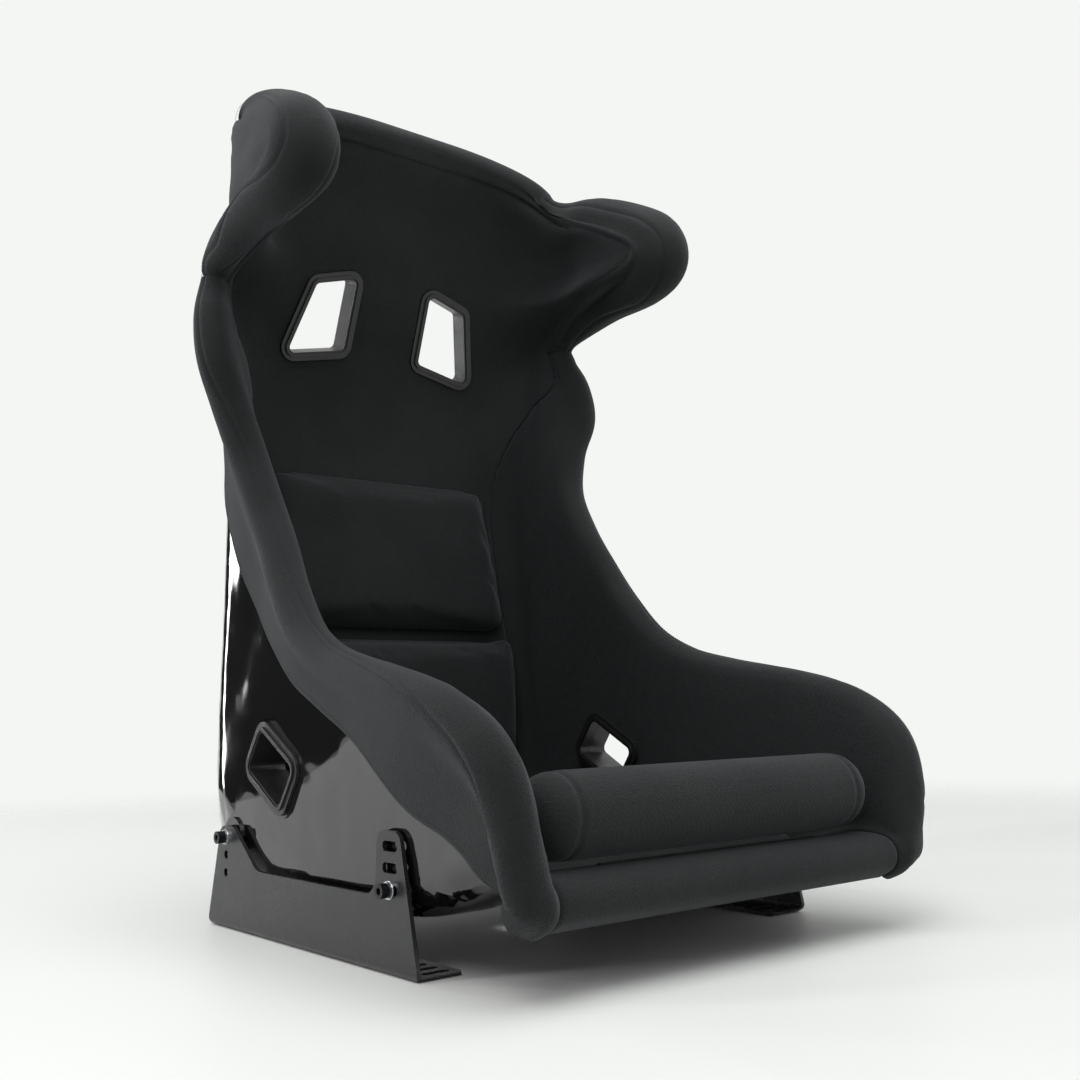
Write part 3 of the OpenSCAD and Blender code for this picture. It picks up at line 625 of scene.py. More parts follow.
def math_node(tree, op, a, b, clamp=False):
    node = tree.nodes.new("ShaderNodeMath")
    node.operation = op
    node.use_clamp = clamp
    feed(tree, node.inputs[0], a)
    feed(tree, node.inputs[1], b)
    return node.outputs[0]


def ramp(tree, value, low, high, to_low=0.0, to_high=1.0):
    node = tree.nodes.new("ShaderNodeMapRange")
    node.interpolation_type = "SMOOTHSTEP"
    for k, v in enumerate((value, low, high, to_low, to_high)):
        feed(tree, node.inputs[k], v)
    return node.outputs[0]


def texture(tree, kind, vector, scale, **values):
    node = tree.nodes.new(kind)
    feed(tree, node.inputs["Vector"], vector)
    feed(tree, node.inputs["Scale"], scale)
    return preset(node, **values)


def knit_group():
    """Fine knitted face: small loops in staggered rows with painted shade between them, and slow
    changes of tone.
    """
    tree, gin, gout = node_group("Knit", [
        ("Loop Size", "NodeSocketFloat", 0.0011), ("Row Depth", "NodeSocketFloat", 0.5),
        ("Shade Change", "NodeSocketFloat", 0.25)],
        [("Height", "NodeSocketFloat"), ("Shade", "NodeSocketFloat"),
         ("Rough", "NodeSocketFloat")])
    coord = tree.nodes.new("ShaderNodeTexCoord").outputs["Object"]
    per_metre = math_node(tree, "DIVIDE", 1.0, gin.outputs["Loop Size"])
    loops = texture(tree, "ShaderNodeTexVoronoi", coord, per_metre, Randomness=0.85)
    loops.feature = "F1"
    fuzz = texture(tree, "ShaderNodeTexNoise", coord, math_node(tree, "MULTIPLY", per_metre, 1.7),
                   Detail=2.0, Roughness=0.7)
    rows = texture(tree, "ShaderNodeTexWave", coord, math_node(tree, "MULTIPLY", per_metre, 0.16),
                   Distortion=1.2, Detail=1.0, Detail_Scale=2.0)
    rows.wave_type, rows.bands_direction = "BANDS", "DIAGONAL"
    slow = texture(tree, "ShaderNodeTexNoise", coord, 9.0, Detail=3.0, Roughness=0.55)
    dome = ramp(tree, loops.outputs["Distance"], 0.0, 0.75, 1.0, 0.0)
    height = math_node(tree, "ADD", dome, math_node(
        tree, "MULTIPLY", rows.outputs["Fac"], gin.outputs["Row Depth"]))
    height = math_node(tree, "ADD", height, math_node(tree, "MULTIPLY", fuzz.outputs["Fac"], 0.6))
    # Shade: lighter on the loops' tops and darker in the hollows between them, which is painted
    # shade, plus random fuzz and slow changes of tone.
    painted_loop_shade_and_tone = math_node(tree, "MULTIPLY", dome, 0.45)
    painted_loop_shade_and_tone = math_node(tree, "ADD", painted_loop_shade_and_tone, math_node(tree, "MULTIPLY", fuzz.outputs["Fac"], 0.4))
    change = math_node(tree, "SUBTRACT", slow.outputs["Fac"], 0.5)
    painted_loop_shade_and_tone = math_node(tree, "ADD", painted_loop_shade_and_tone, math_node(
        tree, "MULTIPLY", change, gin.outputs["Shade Change"]), clamp=True)
    tree.links.new(height, gout.inputs["Height"])
    tree.links.new(painted_loop_shade_and_tone, gout.inputs["Shade"])
    tree.links.new(ramp(tree, slow.outputs["Fac"], 0.3, 0.7, 0.78, 0.9), gout.inputs["Rough"])
    return tree


def finish_group():
    """Surface finish of the hard parts: fine grain, slow waves, dust and handling marks."""
    tree, gin, gout = node_group("Finish", [
        ("Grain Size", "NodeSocketFloat", 0.0006), ("Wave Size", "NodeSocketFloat", 0.06),
        ("Rough Low", "NodeSocketFloat", 0.05), ("Rough High", "NodeSocketFloat", 0.12),
        ("Dust", "NodeSocketFloat", 0.3)],
        [("Grain", "NodeSocketFloat"), ("Wave", "NodeSocketFloat"),
         ("Rough", "NodeSocketFloat"), ("Dust", "NodeSocketFloat")])
    coord = tree.nodes.new("ShaderNodeTexCoord").outputs["Object"]
    grain = texture(tree, "ShaderNodeTexNoise", coord,
                    math_node(tree, "DIVIDE", 1.0, gin.outputs["Grain Size"]), Detail=1.0)
    wave = texture(tree, "ShaderNodeTexNoise", coord,
                   math_node(tree, "DIVIDE", 1.0, gin.outputs["Wave Size"]), Detail=1.0,
                   Roughness=0.4)
    marks = texture(tree, "ShaderNodeTexNoise", coord, 26.0, Detail=6.0, Roughness=0.65)
    specks = texture(tree, "ShaderNodeTexVoronoi", coord, 420.0, Randomness=1.0)
    speck = ramp(tree, specks.outputs["Distance"], 0.05, 0.13, 1.0, 0.0)
    patch = ramp(tree, marks.outputs["Fac"], 0.5, 0.72)
    dust = math_node(tree, "MULTIPLY", math_node(tree, "MULTIPLY", speck, patch),
                     gin.outputs["Dust"])
    tree.links.new(grain.outputs["Fac"], gout.inputs["Grain"])
    tree.links.new(wave.outputs["Fac"], gout.inputs["Wave"])
    tree.links.new(ramp(tree, marks.outputs["Fac"], 0.35, 0.7, gin.outputs["Rough Low"],
                        gin.outputs["Rough High"]), gout.inputs["Rough"])
    tree.links.new(dust, gout.inputs["Dust"])
    return tree


def blank_material(name):
    mat = bpy.data.materials.new(name)
    mat.use_nodes = True
    tree = mat.node_tree
    return mat, tree, tree.nodes["Principled BSDF"]


def place_group(tree, group, **values):
    node = tree.nodes.new("ShaderNodeGroup")
    node.node_tree = group
    return preset(node, **values)


def mix_colour(tree, factor, low, high):
    node = tree.nodes.new("ShaderNodeMix")
    node.data_type = "RGBA"
    node.inputs["A"].default_value = (*low, 1)
    node.inputs["B"].default_value = (*high, 1)
    tree.links.new(factor, node.inputs["Factor"])
    return node.outputs["Result"]


def bump(tree, bsdf, *layers):
    """Layers of (height, strength, distance) on top of each other."""
    normal = None
    for height, strength, distance in layers:
        node = preset(tree.nodes.new("ShaderNodeBump"), Strength=strength, Distance=distance)
        tree.links.new(height, node.inputs["Height"])
        if normal:
            tree.links.new(normal, node.inputs["Normal"])
        normal = node.outputs["Normal"]
    tree.links.new(normal, bsdf.inputs["Normal"])


def knit_material(name, group, dark, light, loop, sheen=0.12, depth=0.0004, rows=0.15):
    """A knitted cloth; loop is the size of its loops, depth and rows how far they stand out."""
    mat, tree, bsdf = blank_material(name)
    g = place_group(tree, group, Loop_Size=loop, Row_Depth=rows)
    # The base colour goes from dark to light by Shade: painted shade between the loops, with random
    # tone.
    tree.links.new(mix_colour(tree, g.outputs["Shade"], dark, light), bsdf.inputs["Base Color"])
    tree.links.new(g.outputs["Rough"], bsdf.inputs["Roughness"])
    preset(bsdf, Sheen_Weight=sheen, Sheen_Roughness=0.45, Sheen_Tint=(0.9, 0.95, 1.0, 1),
           Specular_IOR_Level=0.3)
    bump(tree, bsdf, (g.outputs["Height"], 0.8, depth))
    return mat


def hard_material(name, group, colour, dusty, rough, metallic=0.0, grain=0.0006, wave=0.06,
                  bumps=(0.1, 0.0002, 0.0, 0.001), dust=0.3, coat=0.0):
    """A hard finish; bumps are the grain's strength and depth, then the waves'."""
    mat, tree, bsdf = blank_material(name)
    g = place_group(tree, group, Grain_Size=grain, Wave_Size=wave, Rough_Low=rough[0],
                    Rough_High=rough[1], Dust=dust)
    tree.links.new(mix_colour(tree, g.outputs["Dust"], colour, dusty), bsdf.inputs["Base Color"])
    tree.links.new(g.outputs["Rough"], bsdf.inputs["Roughness"])
    preset(bsdf, Metallic=metallic, Coat_Weight=coat, Coat_Roughness=0.03)
    bump(tree, bsdf, (g.outputs["Wave"], bumps[2], bumps[3]), (g.outputs["Grain"], *bumps[:2]))
    return mat


MATS = {}


def dress(obj, material):
    obj.data.materials.clear()
    obj.data.materials.append(MATS[material])


def fit(obj, material, node, body="seat"):
    """Dresses a piece, which takes the place of a moulded node and rides on its body."""
    dress(obj, material)
    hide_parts(node)
    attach(obj, body)


# ---- sewing ----

def line_curve(name, lines):
    curve = bpy.data.curves.new(name, "CURVE")
    curve.dimensions = "3D"
    for pts in lines:
        spline = curve.splines.new("POLY")
        spline.points.add(len(pts) - 1)
        for k, p in enumerate(pts):
            spline.points[k].co = (*(np.asarray(p) * 0.001), 1)
    obj = bpy.data.objects.new(name, curve)
    bpy.context.scene.collection.objects.link(obj)
    return obj


def stitch_tree():
    """Runs of thread along curves: each stitch is a small capsule, realised at the end."""
    tree = bpy.data.node_groups.new("Stitch Run", "GeometryNodeTree")
    sockets = tree.interface
    sockets.new_socket("Geometry", in_out="INPUT", socket_type="NodeSocketGeometry")
    for label, value in (("Pitch", 0.0034), ("Length", 0.0023), ("Thickness", 0.00055)):
        s = sockets.new_socket(label, in_out="INPUT", socket_type="NodeSocketFloat")
        s.default_value = value
        s.subtype = "DISTANCE"
    sockets.new_socket("Thread", in_out="INPUT", socket_type="NodeSocketMaterial")
    sockets.new_socket("Geometry", in_out="OUTPUT", socket_type="NodeSocketGeometry")
    n, link = tree.nodes, tree.links.new
    gin, gout = n.new("NodeGroupInput"), n.new("NodeGroupOutput")
    resample = n.new("GeometryNodeResampleCurve")
    resample.mode = "LENGTH"
    link(gin.outputs["Geometry"], resample.inputs["Curve"])
    link(gin.outputs["Pitch"], resample.inputs["Length"])
    points = n.new("GeometryNodeCurveToPoints")
    points.mode = "EVALUATED"
    link(resample.outputs["Curve"], points.inputs["Curve"])
    thread = n.new("GeometryNodeMeshIcoSphere")
    thread.inputs["Radius"].default_value = 0.5
    thread.inputs["Subdivisions"].default_value = 1
    shape = n.new("ShaderNodeCombineXYZ")
    for k, size in enumerate(("Thickness", "Thickness", "Length")):
        link(gin.outputs[size], shape.inputs[k])
    place = n.new("GeometryNodeInstanceOnPoints")
    link(points.outputs["Points"], place.inputs["Points"])
    link(thread.outputs["Mesh"], place.inputs["Instance"])
    turn = n.new("FunctionNodeAlignRotationToVector")
    turn.axis = "Z"
    link(points.outputs["Tangent"], turn.inputs["Vector"])
    link(turn.outputs["Rotation"], place.inputs["Rotation"])
    link(shape.outputs[0], place.inputs["Scale"])
    real = n.new("GeometryNodeRealizeInstances")
    link(place.outputs["Instances"], real.inputs["Geometry"])
    paint = n.new("GeometryNodeSetMaterial")
    link(real.outputs["Geometry"], paint.inputs["Geometry"])
    link(gin.outputs["Thread"], paint.inputs["Material"])
    link(paint.outputs["Geometry"], gout.inputs["Geometry"])
    return tree


def sew(name, lines):
    """Stitches along the lines, as one plain mesh that rides on the seat."""
    tree = bpy.data.node_groups.get("Stitch Run") or stitch_tree()
    source = line_curve(name + "_path", lines)
    sizes = bpy.context.scene.seat_sewing
    mod = source.modifiers.new("stitches", "NODES")
    mod.node_group = tree
    ids = {s.name: s.identifier for s in tree.interface.items_tree if s.in_out == "INPUT"}
    inputs = {"Pitch": sizes.pitch, "Length": sizes.stitch, "Thickness": sizes.thread,
              "Thread": MATS["thread"]}
    for label, value in inputs.items():
        mod[ids[label]] = value
    mesh = evaluated_mesh(source)
    mesh.name = name
    obj = bpy.data.objects.new(name, mesh)
    bpy.context.scene.collection.objects.link(obj)
    remove(source)
    mesh.polygons.foreach_set("use_smooth", [True] * len(mesh.polygons))
    dress(obj, "thread")
    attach(obj, "seat")


# ---- trim ----

def rim_piece(rims):
    front, back = [], []
    for rim in rims:
        cols = seam_columns(rim.seams)
        front.append([rim.grooved(p) for p in cols])
        back.append([rim.back(p) for p in cols])
    return front, back


def relaxed(grid):
    """The head padding's grid with its folds evened out beside the wing's upper corner.

    That takes its inner columns, and its outer ones as far as the top edge's first rows.
    """
    grid = np.array(grid)
    rows, cols = grid.shape[:2]
    even = softened(grid.reshape(rows, -1), RELAX_REACH).reshape(grid.shape)
    for k in range(rows):
        along = ease((k - RELAX_FROM) / 14)
        for j in range(cols):
            inner = ease((j - 0.5) / 3) * ease((INNER_COLS - j) / 4)
            outer = ease((j - OUTER_COLS) / 6) * ease((RELAX_TO - k) / 12)
            grid[k, j] = mix(grid[k, j], even[k, j], along * max(inner, outer))
    return [list(row) for row in grid]


def round_end(front, back, at, depth=1.6):
    """Turns the end row of a piece down, so two pieces meet in a seam."""
    for j in range(len(front[at])):
        f, b = front[at][j], back[at][j]
        front[at][j] = f + unit(b - f) * min(depth, 0.4 * np.linalg.norm(b - f))


def bolster_rims():
    us = list(np.arange(0, NECK - 0.3, 0.125)) + [NECK - 0.2, NECK - 0.1, NECK - 0.05, NECK - 0.02]
    return [Rim(side_row(u), [(float(np.interp(u, *CREST)), SEAM_DEPTH)]) for u in us]


def head_rims():
    rows = head_rows()
    edge = np.array([spot(r[2], r[3])[0] for r in rows])
    long = np.concatenate([edge, (edge * (-1, 1, 1))[-2:-6:-1]])
    rims = []
    for k, row in enumerate(rows):
        along = unit(long[min(k + 3, len(long) - 1)] - long[max(k - 3, 0)])
        t = k / HEAD_DENSE
        rims.append(Rim(row, head_seams(t), along, 4.5 * math.exp(-((t - 13.5) / 2) ** 2)))
    return rims


def seam_row(rims, which, mm):
    """Along a seam, mm to its outer side."""
    return [r.front(r.moved(r.seams[which][0], mm), STITCH_LIFT) for r in rims]


def hem_row(rims):
    """Along the hem, 7 mm from its end."""
    return [r.front(3 - 7 / r.out_mm, STITCH_LIFT) for r in rims]


def both_sides(lines):
    return lines + [mirrored(line) for line in lines]


def inner_seam(u):
    """Distance along the section from the middle to the side seam."""
    part = slice_at(u)[1]
    if u < NECK:
        return part.s[SEAM] - 0.7
    rows = head_rows()
    return float(np.interp(u, [r[0] for r in rows], [r[1] for r in rows])) * part.whole


def middle_rows(places, thick):
    """Front and back grids of a panel; above the neck its edge runs under the side trim."""
    front, back = [], []
    shares = np.concatenate([np.linspace(0, 0.9, 16), [.93, .96, .975, .985, .993, 1]])
    for u in places:
        tuck = ease((u - NECK) / 0.5)
        seam = inner_seam(u)
        whole = inner_seam(u - 0.1 * tuck) + 3 * tuck
        gap = TRIM_GAP + 0.8 * full(u)
        f, b = [], []
        for d in shares * whole:
            g = face(u, d)
            t = thick + crown_foam(u) + wing_foam(u) * ease(2 * min(d / max(seam, 1), 1) - 1)
            t -= 0.3 * tuck * ease((d - seam) / 2 + 0.5)
            mm = whole - d
            if mm < EDGE_RUN:
                t -= EDGE_TURN * (1 - mm / EDGE_RUN) ** 2 * (1 - tuck)
            f.append(lifted(g, t))
            b.append(lifted(g, gap))
        front.append(mirrored(f)[:0:-1] + f)
        back.append(mirrored(b)[:0:-1] + b)
    return front, back


# ---- operators ----

class SeatSewing(bpy.types.PropertyGroup):
    """Sizes of the seams"""
    pitch: bpy.props.FloatProperty(
        name="Stitch pitch", description="Distance from one stitch to the next",
        default=0.0034, min=0.002, max=0.008, subtype="DISTANCE", unit="LENGTH")
    stitch: bpy.props.FloatProperty(
        name="Stitch length", description="Length of the thread that shows",
        default=0.0025, min=0.001, max=0.006, subtype="DISTANCE", unit="LENGTH")
    thread: bpy.props.FloatProperty(
        name="Thread thickness", description="Thickness of the sewing thread",
        default=0.0007, min=0.0003, max=0.0015, subtype="DISTANCE", unit="LENGTH")
    offset: bpy.props.FloatProperty(
        name="Topstitch offset", description="Distance from a seam to its topstitch in mm",
        default=6.0, min=2.0, max=12.0)


class SeatCushions(bpy.types.PropertyGroup):
    """Sizes of the loose cushions"""
    voxel: bpy.props.FloatProperty(
        name="Mesh size", description="Size of the cloth's faces",
        default=0.005, min=0.004, max=0.008, subtype="DISTANCE", unit="LENGTH")
    pressure: bpy.props.FloatProperty(
        name="Pressure", description="How hard the filling pushes", default=4.0, min=0, max=10)
    swell: bpy.props.FloatProperty(
        name="Swell", description="Most that the filling moves the cloth",
        default=0.007, min=0.0, max=0.03, subtype="DISTANCE", unit="LENGTH")


class SeatColours(bpy.types.PropertyGroup):
    """Colours of the seat"""
    # The knit runs from dark between its loops to light on their tops: painted shade in the
    # hollows.
    fabric_dark: bpy.props.FloatVectorProperty(
        name="Fabric, dark", description="Between the loops of the knit", subtype="COLOR",
        default=(0.0031, 0.0038, 0.0042), min=0, max=1)
    fabric_light: bpy.props.FloatVectorProperty(
        name="Fabric, light", description="On top of the loops of the knit", subtype="COLOR",
        default=(0.0155, 0.0180, 0.0190), min=0, max=1)
    gelcoat: bpy.props.FloatVectorProperty(
        name="Gelcoat", description="Colour of the shell", subtype="COLOR",
        default=(0.004, 0.004, 0.0045), min=0, max=1)
    floor: bpy.props.FloatVectorProperty(
        name="Floor", description="Colour of the floor and backdrop", subtype="COLOR",
        default=(0.86, 0.87, 0.855), min=0, max=1)


class SEAT_OT_materials(bpy.types.Operator):
    """Make the materials and give them to the moulded and metal parts"""
    bl_idname = "seat.materials"
    bl_label = "Materials"

    def execute(self, context):
        c = context.scene.seat_colours
        knit, fin = knit_group(), finish_group()
        dark, light = tuple(c.fabric_dark), tuple(c.fabric_light)
        # Every knit below, the thread and the hook tape too, paints shade between its loops.
        MATS["trim"] = knit_material("Trim knit", knit, dark, light, 0.0014)
        MATS["cushion"] = knit_material("Cushion knit", knit, dark, tuple(
            v * 1.04 for v in light), 0.0015, rows=0.3)
        MATS["thread"] = knit_material("Sewing thread", knit, (0.01, 0.01, 0.011),
                                       (0.03, 0.031, 0.034), 0.0004, depth=0.0001)
        MATS["gelcoat"] = hard_material(
            "Gelcoat", fin, tuple(c.gelcoat), (0.08, 0.08, 0.08), (0.03, 0.07), grain=0.0012,
            wave=0.05, bumps=(0.015, 0.0002, 0.3, 0.004), dust=0.2, coat=0.5)
        MATS["slot"] = hard_material(
            "Slot moulding", fin, (0.012, 0.012, 0.013), (0.10, 0.10, 0.10), (0.34, 0.46),
            grain=0.0005, bumps=(0.25, 0.0002, 0.02, 0.001), dust=0.2)
        MATS["coating"] = hard_material(
            "Powder coat", fin, (0.010, 0.010, 0.011), (0.12, 0.12, 0.12), (0.26, 0.36),
            grain=0.0007, bumps=(0.3, 0.00025, 0.03, 0.001), dust=0.35)
        MATS["black_steel"] = hard_material(
            "Black oxide", fin, (0.015, 0.015, 0.017), (0.1, 0.1, 0.1), (0.28, 0.42),
            metallic=0.6, grain=0.0003, bumps=(0.2, 0.0001, 0.0, 0.001), dust=0.15)
        MATS["zinc"] = hard_material(
            "Bright zinc", fin, (0.62, 0.64, 0.66), (0.45, 0.45, 0.45), (0.2, 0.36),
            metallic=1.0, grain=0.0003, bumps=(0.2, 0.0001, 0.0, 0.001), dust=0.2)
        MATS["spacer"] = hard_material(
            "Spacer nylon", fin, (0.012, 0.012, 0.012), (0.06, 0.06, 0.06), (0.45, 0.55),
            grain=0.0005, bumps=(0.2, 0.0001, 0.0, 0.001), dust=0.1)
        MATS["tape"] = knit_material("Hook tape", knit, (0.012, 0.012, 0.013),
                                     (0.05, 0.05, 0.052), 0.0016, sheen=0.1, depth=0.0008)
        wanted = {"bracket": "coating", "bezel": "slot", "_ring_": "slot",
                  "crotch_backing_ring": "slot", "bolts": "black_steel", "washers": "zinc",
                  "inserts": "zinc", "spacers": "spacer", "strips": "tape",
                  "seat_shell": "gelcoat"}
        for node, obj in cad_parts.items():
            for key in wanted:
                if key in node:
                    dress(obj, wanted[key])
        return {"FINISHED"}


class SEAT_OT_shell(bpy.types.Operator):
    """Mould the laminate shell with its slots and bolt bosses"""
    bl_idname = "seat.shell"
    bl_label = "Shell"

    def execute(self, context):
        front, back = [], []
        for u in np.linspace(0, LAST, LAST * 6 + 1):
            whole = slice_at(u)[1].whole
            d = np.concatenate([np.linspace(0, 1, 25)[:-1] * (whole - 6),
                                whole - 6 + np.array([0, 3, 5, 6])])
            gs = [face(u, k) for k in d]
            ease_in = [0] * (len(d) - 2) + [0.8, 2.4]
            f = [lifted(g, -e) for g, e in zip(gs, ease_in)]
            b = [lifted(g, -SHELL_T + e) for g, e in zip(gs, ease_in)]
            front.append(mirrored(f)[:0:-1] + f)
            back.append(mirrored(b)[:0:-1] + b)
        shell = tidy_mesh(slab("shell", front, back), merge=0)
        adds, cuts = [], []
        for side in (-1, 1):
            sh, lap = shoulder_frame(side), lap_frame(side)
            for y, z in BOLTS:
                place = bolt_frame(side, y, z)
                adds.append(round_bar(place, 20, BOSS_X - 12, BOSS_X))
                cuts.append(round_bar(place, 6.1, BOSS_X - 40, BOSS_X + 20))
            adds += [slot_block(SHOULDER_HOLE, BEZEL_RIM + 4, sh, SHOULDER_BACK, -13),
                     slot_block(LAP_HOLE, BEZEL_RIM + 3, lap, 239, LAP_FACE)]
            cuts += [slot_block(SHOULDER_HOLE, THROUGH, sh, -80, 60),
                     slot_block(LAP_HOLE, THROUGH, lap, 190, 280),
                     slot_block(LAP_HOLE, BEZEL_RIM + 3, lap, LAP_FACE, 280)]
        cuts.append(slot_block(CROTCH_HOLE, THROUGH, crotch_frame(), -40, 30))
        boolean(shell, adds, "UNION")
        boolean(shell, cuts)
        tidy_mesh(shell, angle=32)
        fit(shell, "gelcoat", "seat_shell")
        return {"FINISHED"}


class SEAT_OT_bolsters(bpy.types.Operator):
    """Sew the padded trim of both sides, from the front lip to the neck"""
    bl_idname = "seat.bolsters"
    bl_label = "Side bolsters"

    def execute(self, context):
        rims = bolster_rims()
        front, back = rim_piece(rims)
        round_end(front, back, -1)
        offset = context.scene.seat_sewing.offset
        for side, name in ((1, "left"), (-1, "right")):
            f = [mirrored(r) for r in front] if side < 0 else front
            b = [mirrored(r) for r in back] if side < 0 else back
            obj = tidy_mesh(slab("bolster_trim_" + name, f, b), merge=0)
            lap = lap_frame(side)
            cuts = [slot_block(LAP_HOLE, THROUGH, lap, 180, 280),
                    slot_block(LAP_HOLE, BEZEL_RIM + 1, lap, 150, LAP_INNER + .4),
                    slot_block(LAP_HOLE, BEZEL_RIM + 4, lap, 238, 280)]
            cuts += [round_bar(bolt_frame(side, y, z), 21, BOSS_X - 17.5, BOSS_X + 40)
                     for y, z in BOLTS]
            boolean(obj, cuts)
            tidy_mesh(obj, angle=50)
            fit(obj, "trim", "side_bolster_" + name)
        sew("bolster_stitches", both_sides([seam_row(rims, 0, offset), hem_row(rims)]))
        return {"FINISHED"}


class SEAT_OT_head(bpy.types.Operator):
    """Sew the padded trim round the head wings and along the top"""
    bl_idname = "seat.head"
    bl_label = "Head wings"

    def execute(self, context):
        rims = head_rims()
        front, back = (relaxed(g) for g in rim_piece(rims))
        round_end(front, back, 0)
        f = front + [mirrored(r) for r in front[-2::-1]]
        b = back + [mirrored(r) for r in back[-2::-1]]
        obj = tidy_mesh(slab("head_wing_trim", f, b), merge=0)
        fit(obj, "trim", "head_wing_pads")
        offset = context.scene.seat_sewing.offset
        wing = rims[:17 * HEAD_DENSE]
        sew("head_stitches", both_sides([
            seam_row(wing, 0, offset), seam_row(wing, 1, offset), hem_row(rims)]))
        return {"FINISHED"}


class SEAT_OT_panels(bpy.types.Operator):
    """Cover the back, the base and the front lip between the bolsters"""
    bl_idname = "seat.panels"
    bl_label = "Middle panels"

    def execute(self, context):
        top = head_rows()[-1][0]
        top_places = list(np.arange(NECK, top - 0.3, 0.125)) + [
            top + k for k in (-.24, -.16, -.1, -.05, -.01, .03, .06, .085, .1)]
        jobs = [
            ("back_panel", "back_cover", [BASE_END + .02] + [
                u for u in np.arange(BASE_END + .125, NECK, .125)] + top_places, BACK_FOAM),
            ("base_panel", "base_cover", [LIP_END + .02] + list(
                np.arange(LIP_END + .125, BASE_END - .1, .125)) + [BASE_END - .02], BASE_FOAM),
            ("lip_panel", "front_lip_cover", list(np.arange(0, LIP_END - .1, .125)) + [
                LIP_END - .05, LIP_END - .02], LIP_FOAM)]
        for name, node, places, thick in jobs:
            front, back = middle_rows(places, thick)
            for end in (0, -1):
                round_end(front, back, end)
            obj = tidy_mesh(slab(name, front, back), merge=0)
            cuts = []
            if name == "back_panel":
                for side in (-1, 1):
                    sh = shoulder_frame(side)
                    cuts += [slot_block(SHOULDER_HOLE, THROUGH, sh, -60, 60),
                             slot_block(SHOULDER_HOLE, BEZEL_RIM + 1, sh, -2, 60),
                             slot_block(SHOULDER_HOLE, BEZEL_RIM + 5, sh, -60, -12.4)]
            if name == "base_panel":
                cuts.append(slot_block(CROTCH_HOLE, THROUGH, crotch_frame(), -40, 30))
            if cuts:
                boolean(obj, cuts)
            tidy_mesh(obj, angle=50)
            fit(obj, "trim", node)
        return {"FINISHED"}


def cushion_form(name, u0, u1, w0, w1, low, side_h, crown, n=25):
    """A crowned closed form on the seat's face, and the line of its rim seam."""
    spread = [math.sin(math.pi / 2 * t) * 0.35 + 0.65 * t for t in np.linspace(-1, 1, n)]

    def at(s, t, k):
        inset = 0.985 if k else 1
        u = mix(u0, u1, 0.5 + 0.5 * inset * t * (1 - 0.035 * abs(s) ** 8))
        d = mix(w0, w1, 0.5 + 0.5 * t) * s * inset * (1 - 0.03 * abs(t) ** 8)
        q = lifted(face(u, abs(d)), low)
        if not k:
            swell = ((1 - abs(s) ** 9) ** 0.45 * (1 - abs(t) ** 9) ** 0.45
                     * (1 - 0.12 * s * s) * (1 - 0.1 * t * t))
            h = side_h + (crown - side_h) * swell
            q = q + h * face(u, 0)[1] + np.array([0.3 * h * abs(s) ** 4, 0, 0])
        return q * (-1, 1, 1) if d < 0 else q
    front = [[at(s, t, 0) for s in spread] for t in spread]
    back = [[at(s, t, 1) for s in spread] for t in spread]
    e = 0.965
    up, down = np.linspace(-e, e, 60), np.linspace(e, -e, 60)
    ring = [(s, -e) for s in up] + [(e, t) for t in up] + [(s, e) for s in down]
    ring += [(-e, t) for t in down]
    return slab(name, front, back), [at(s, t, 0) for s, t in ring]


def remesh(obj, size):
    m = obj.modifiers.new("voxels", "REMESH")
    m.mode = "VOXEL"
    m.voxel_size = size
    return take_result(obj)


def inflate(obj, pressure, cap, weight):
    """Cloth blown up for twenty frames; each point then moves at most cap, by its weight."""
    before = np.array([v.co for v in obj.data.vertices])
    scene = bpy.context.scene
    mod = obj.modifiers.new("cloth", "CLOTH")
    st = mod.settings
    st.quality = 5
    st.mass = 0.3
    st.tension_stiffness = st.compression_stiffness = 15
    st.shear_stiffness = 5
    st.bending_stiffness = 0.5
    st.use_pressure = True
    st.uniform_pressure_force = pressure
    st.effector_weights.gravity = 0
    mod.point_cache.frame_start, mod.point_cache.frame_end = 1, CLOTH_FRAMES
    for f in range(1, CLOTH_FRAMES + 1):
        scene.frame_set(f)
    graph = bpy.context.evaluated_depsgraph_get()
    mesh = obj.evaluated_get(graph).to_mesh()
    after = np.array([v.co for v in mesh.vertices])
    obj.evaluated_get(graph).to_mesh_clear()
    obj.modifiers.clear()
    scene.frame_set(1)
    move = after - before
    size = np.maximum(np.linalg.norm(move, axis=1), 1e-9)
    move *= (np.minimum(size, cap) / size)[:, None]
    now = before + move * weight(before)[:, None]
    obj.data.vertices.foreach_set("co", now.ravel())
    obj.data.update()


def point_tree(points):
    tree = KDTree(len(points))
    for i, p in enumerate(points):
        tree.insert(Vector(p), i)
    tree.balance()
    return tree


def sink_along(obj, line, depth, width):
    """Draws the surface in along a line of points in millimetres."""
    pts = []
    for a, b in zip(line, line[1:]):
        pts += [mix(np.asarray(a), np.asarray(b), k / 3) * 0.001 for k in range(3)]
    tree = point_tree(pts)
    for v in obj.data.vertices:
        d = tree.find(v.co)[2]
        if d < width * 2.5:
            v.co -= v.normal * depth * math.exp(-(d / width) ** 2)
    obj.data.update()


def subdivided(obj):
    m = obj.modifiers.new("subdivision", "SUBSURF")
    m.levels = m.render_levels = 1
    return take_result(obj)


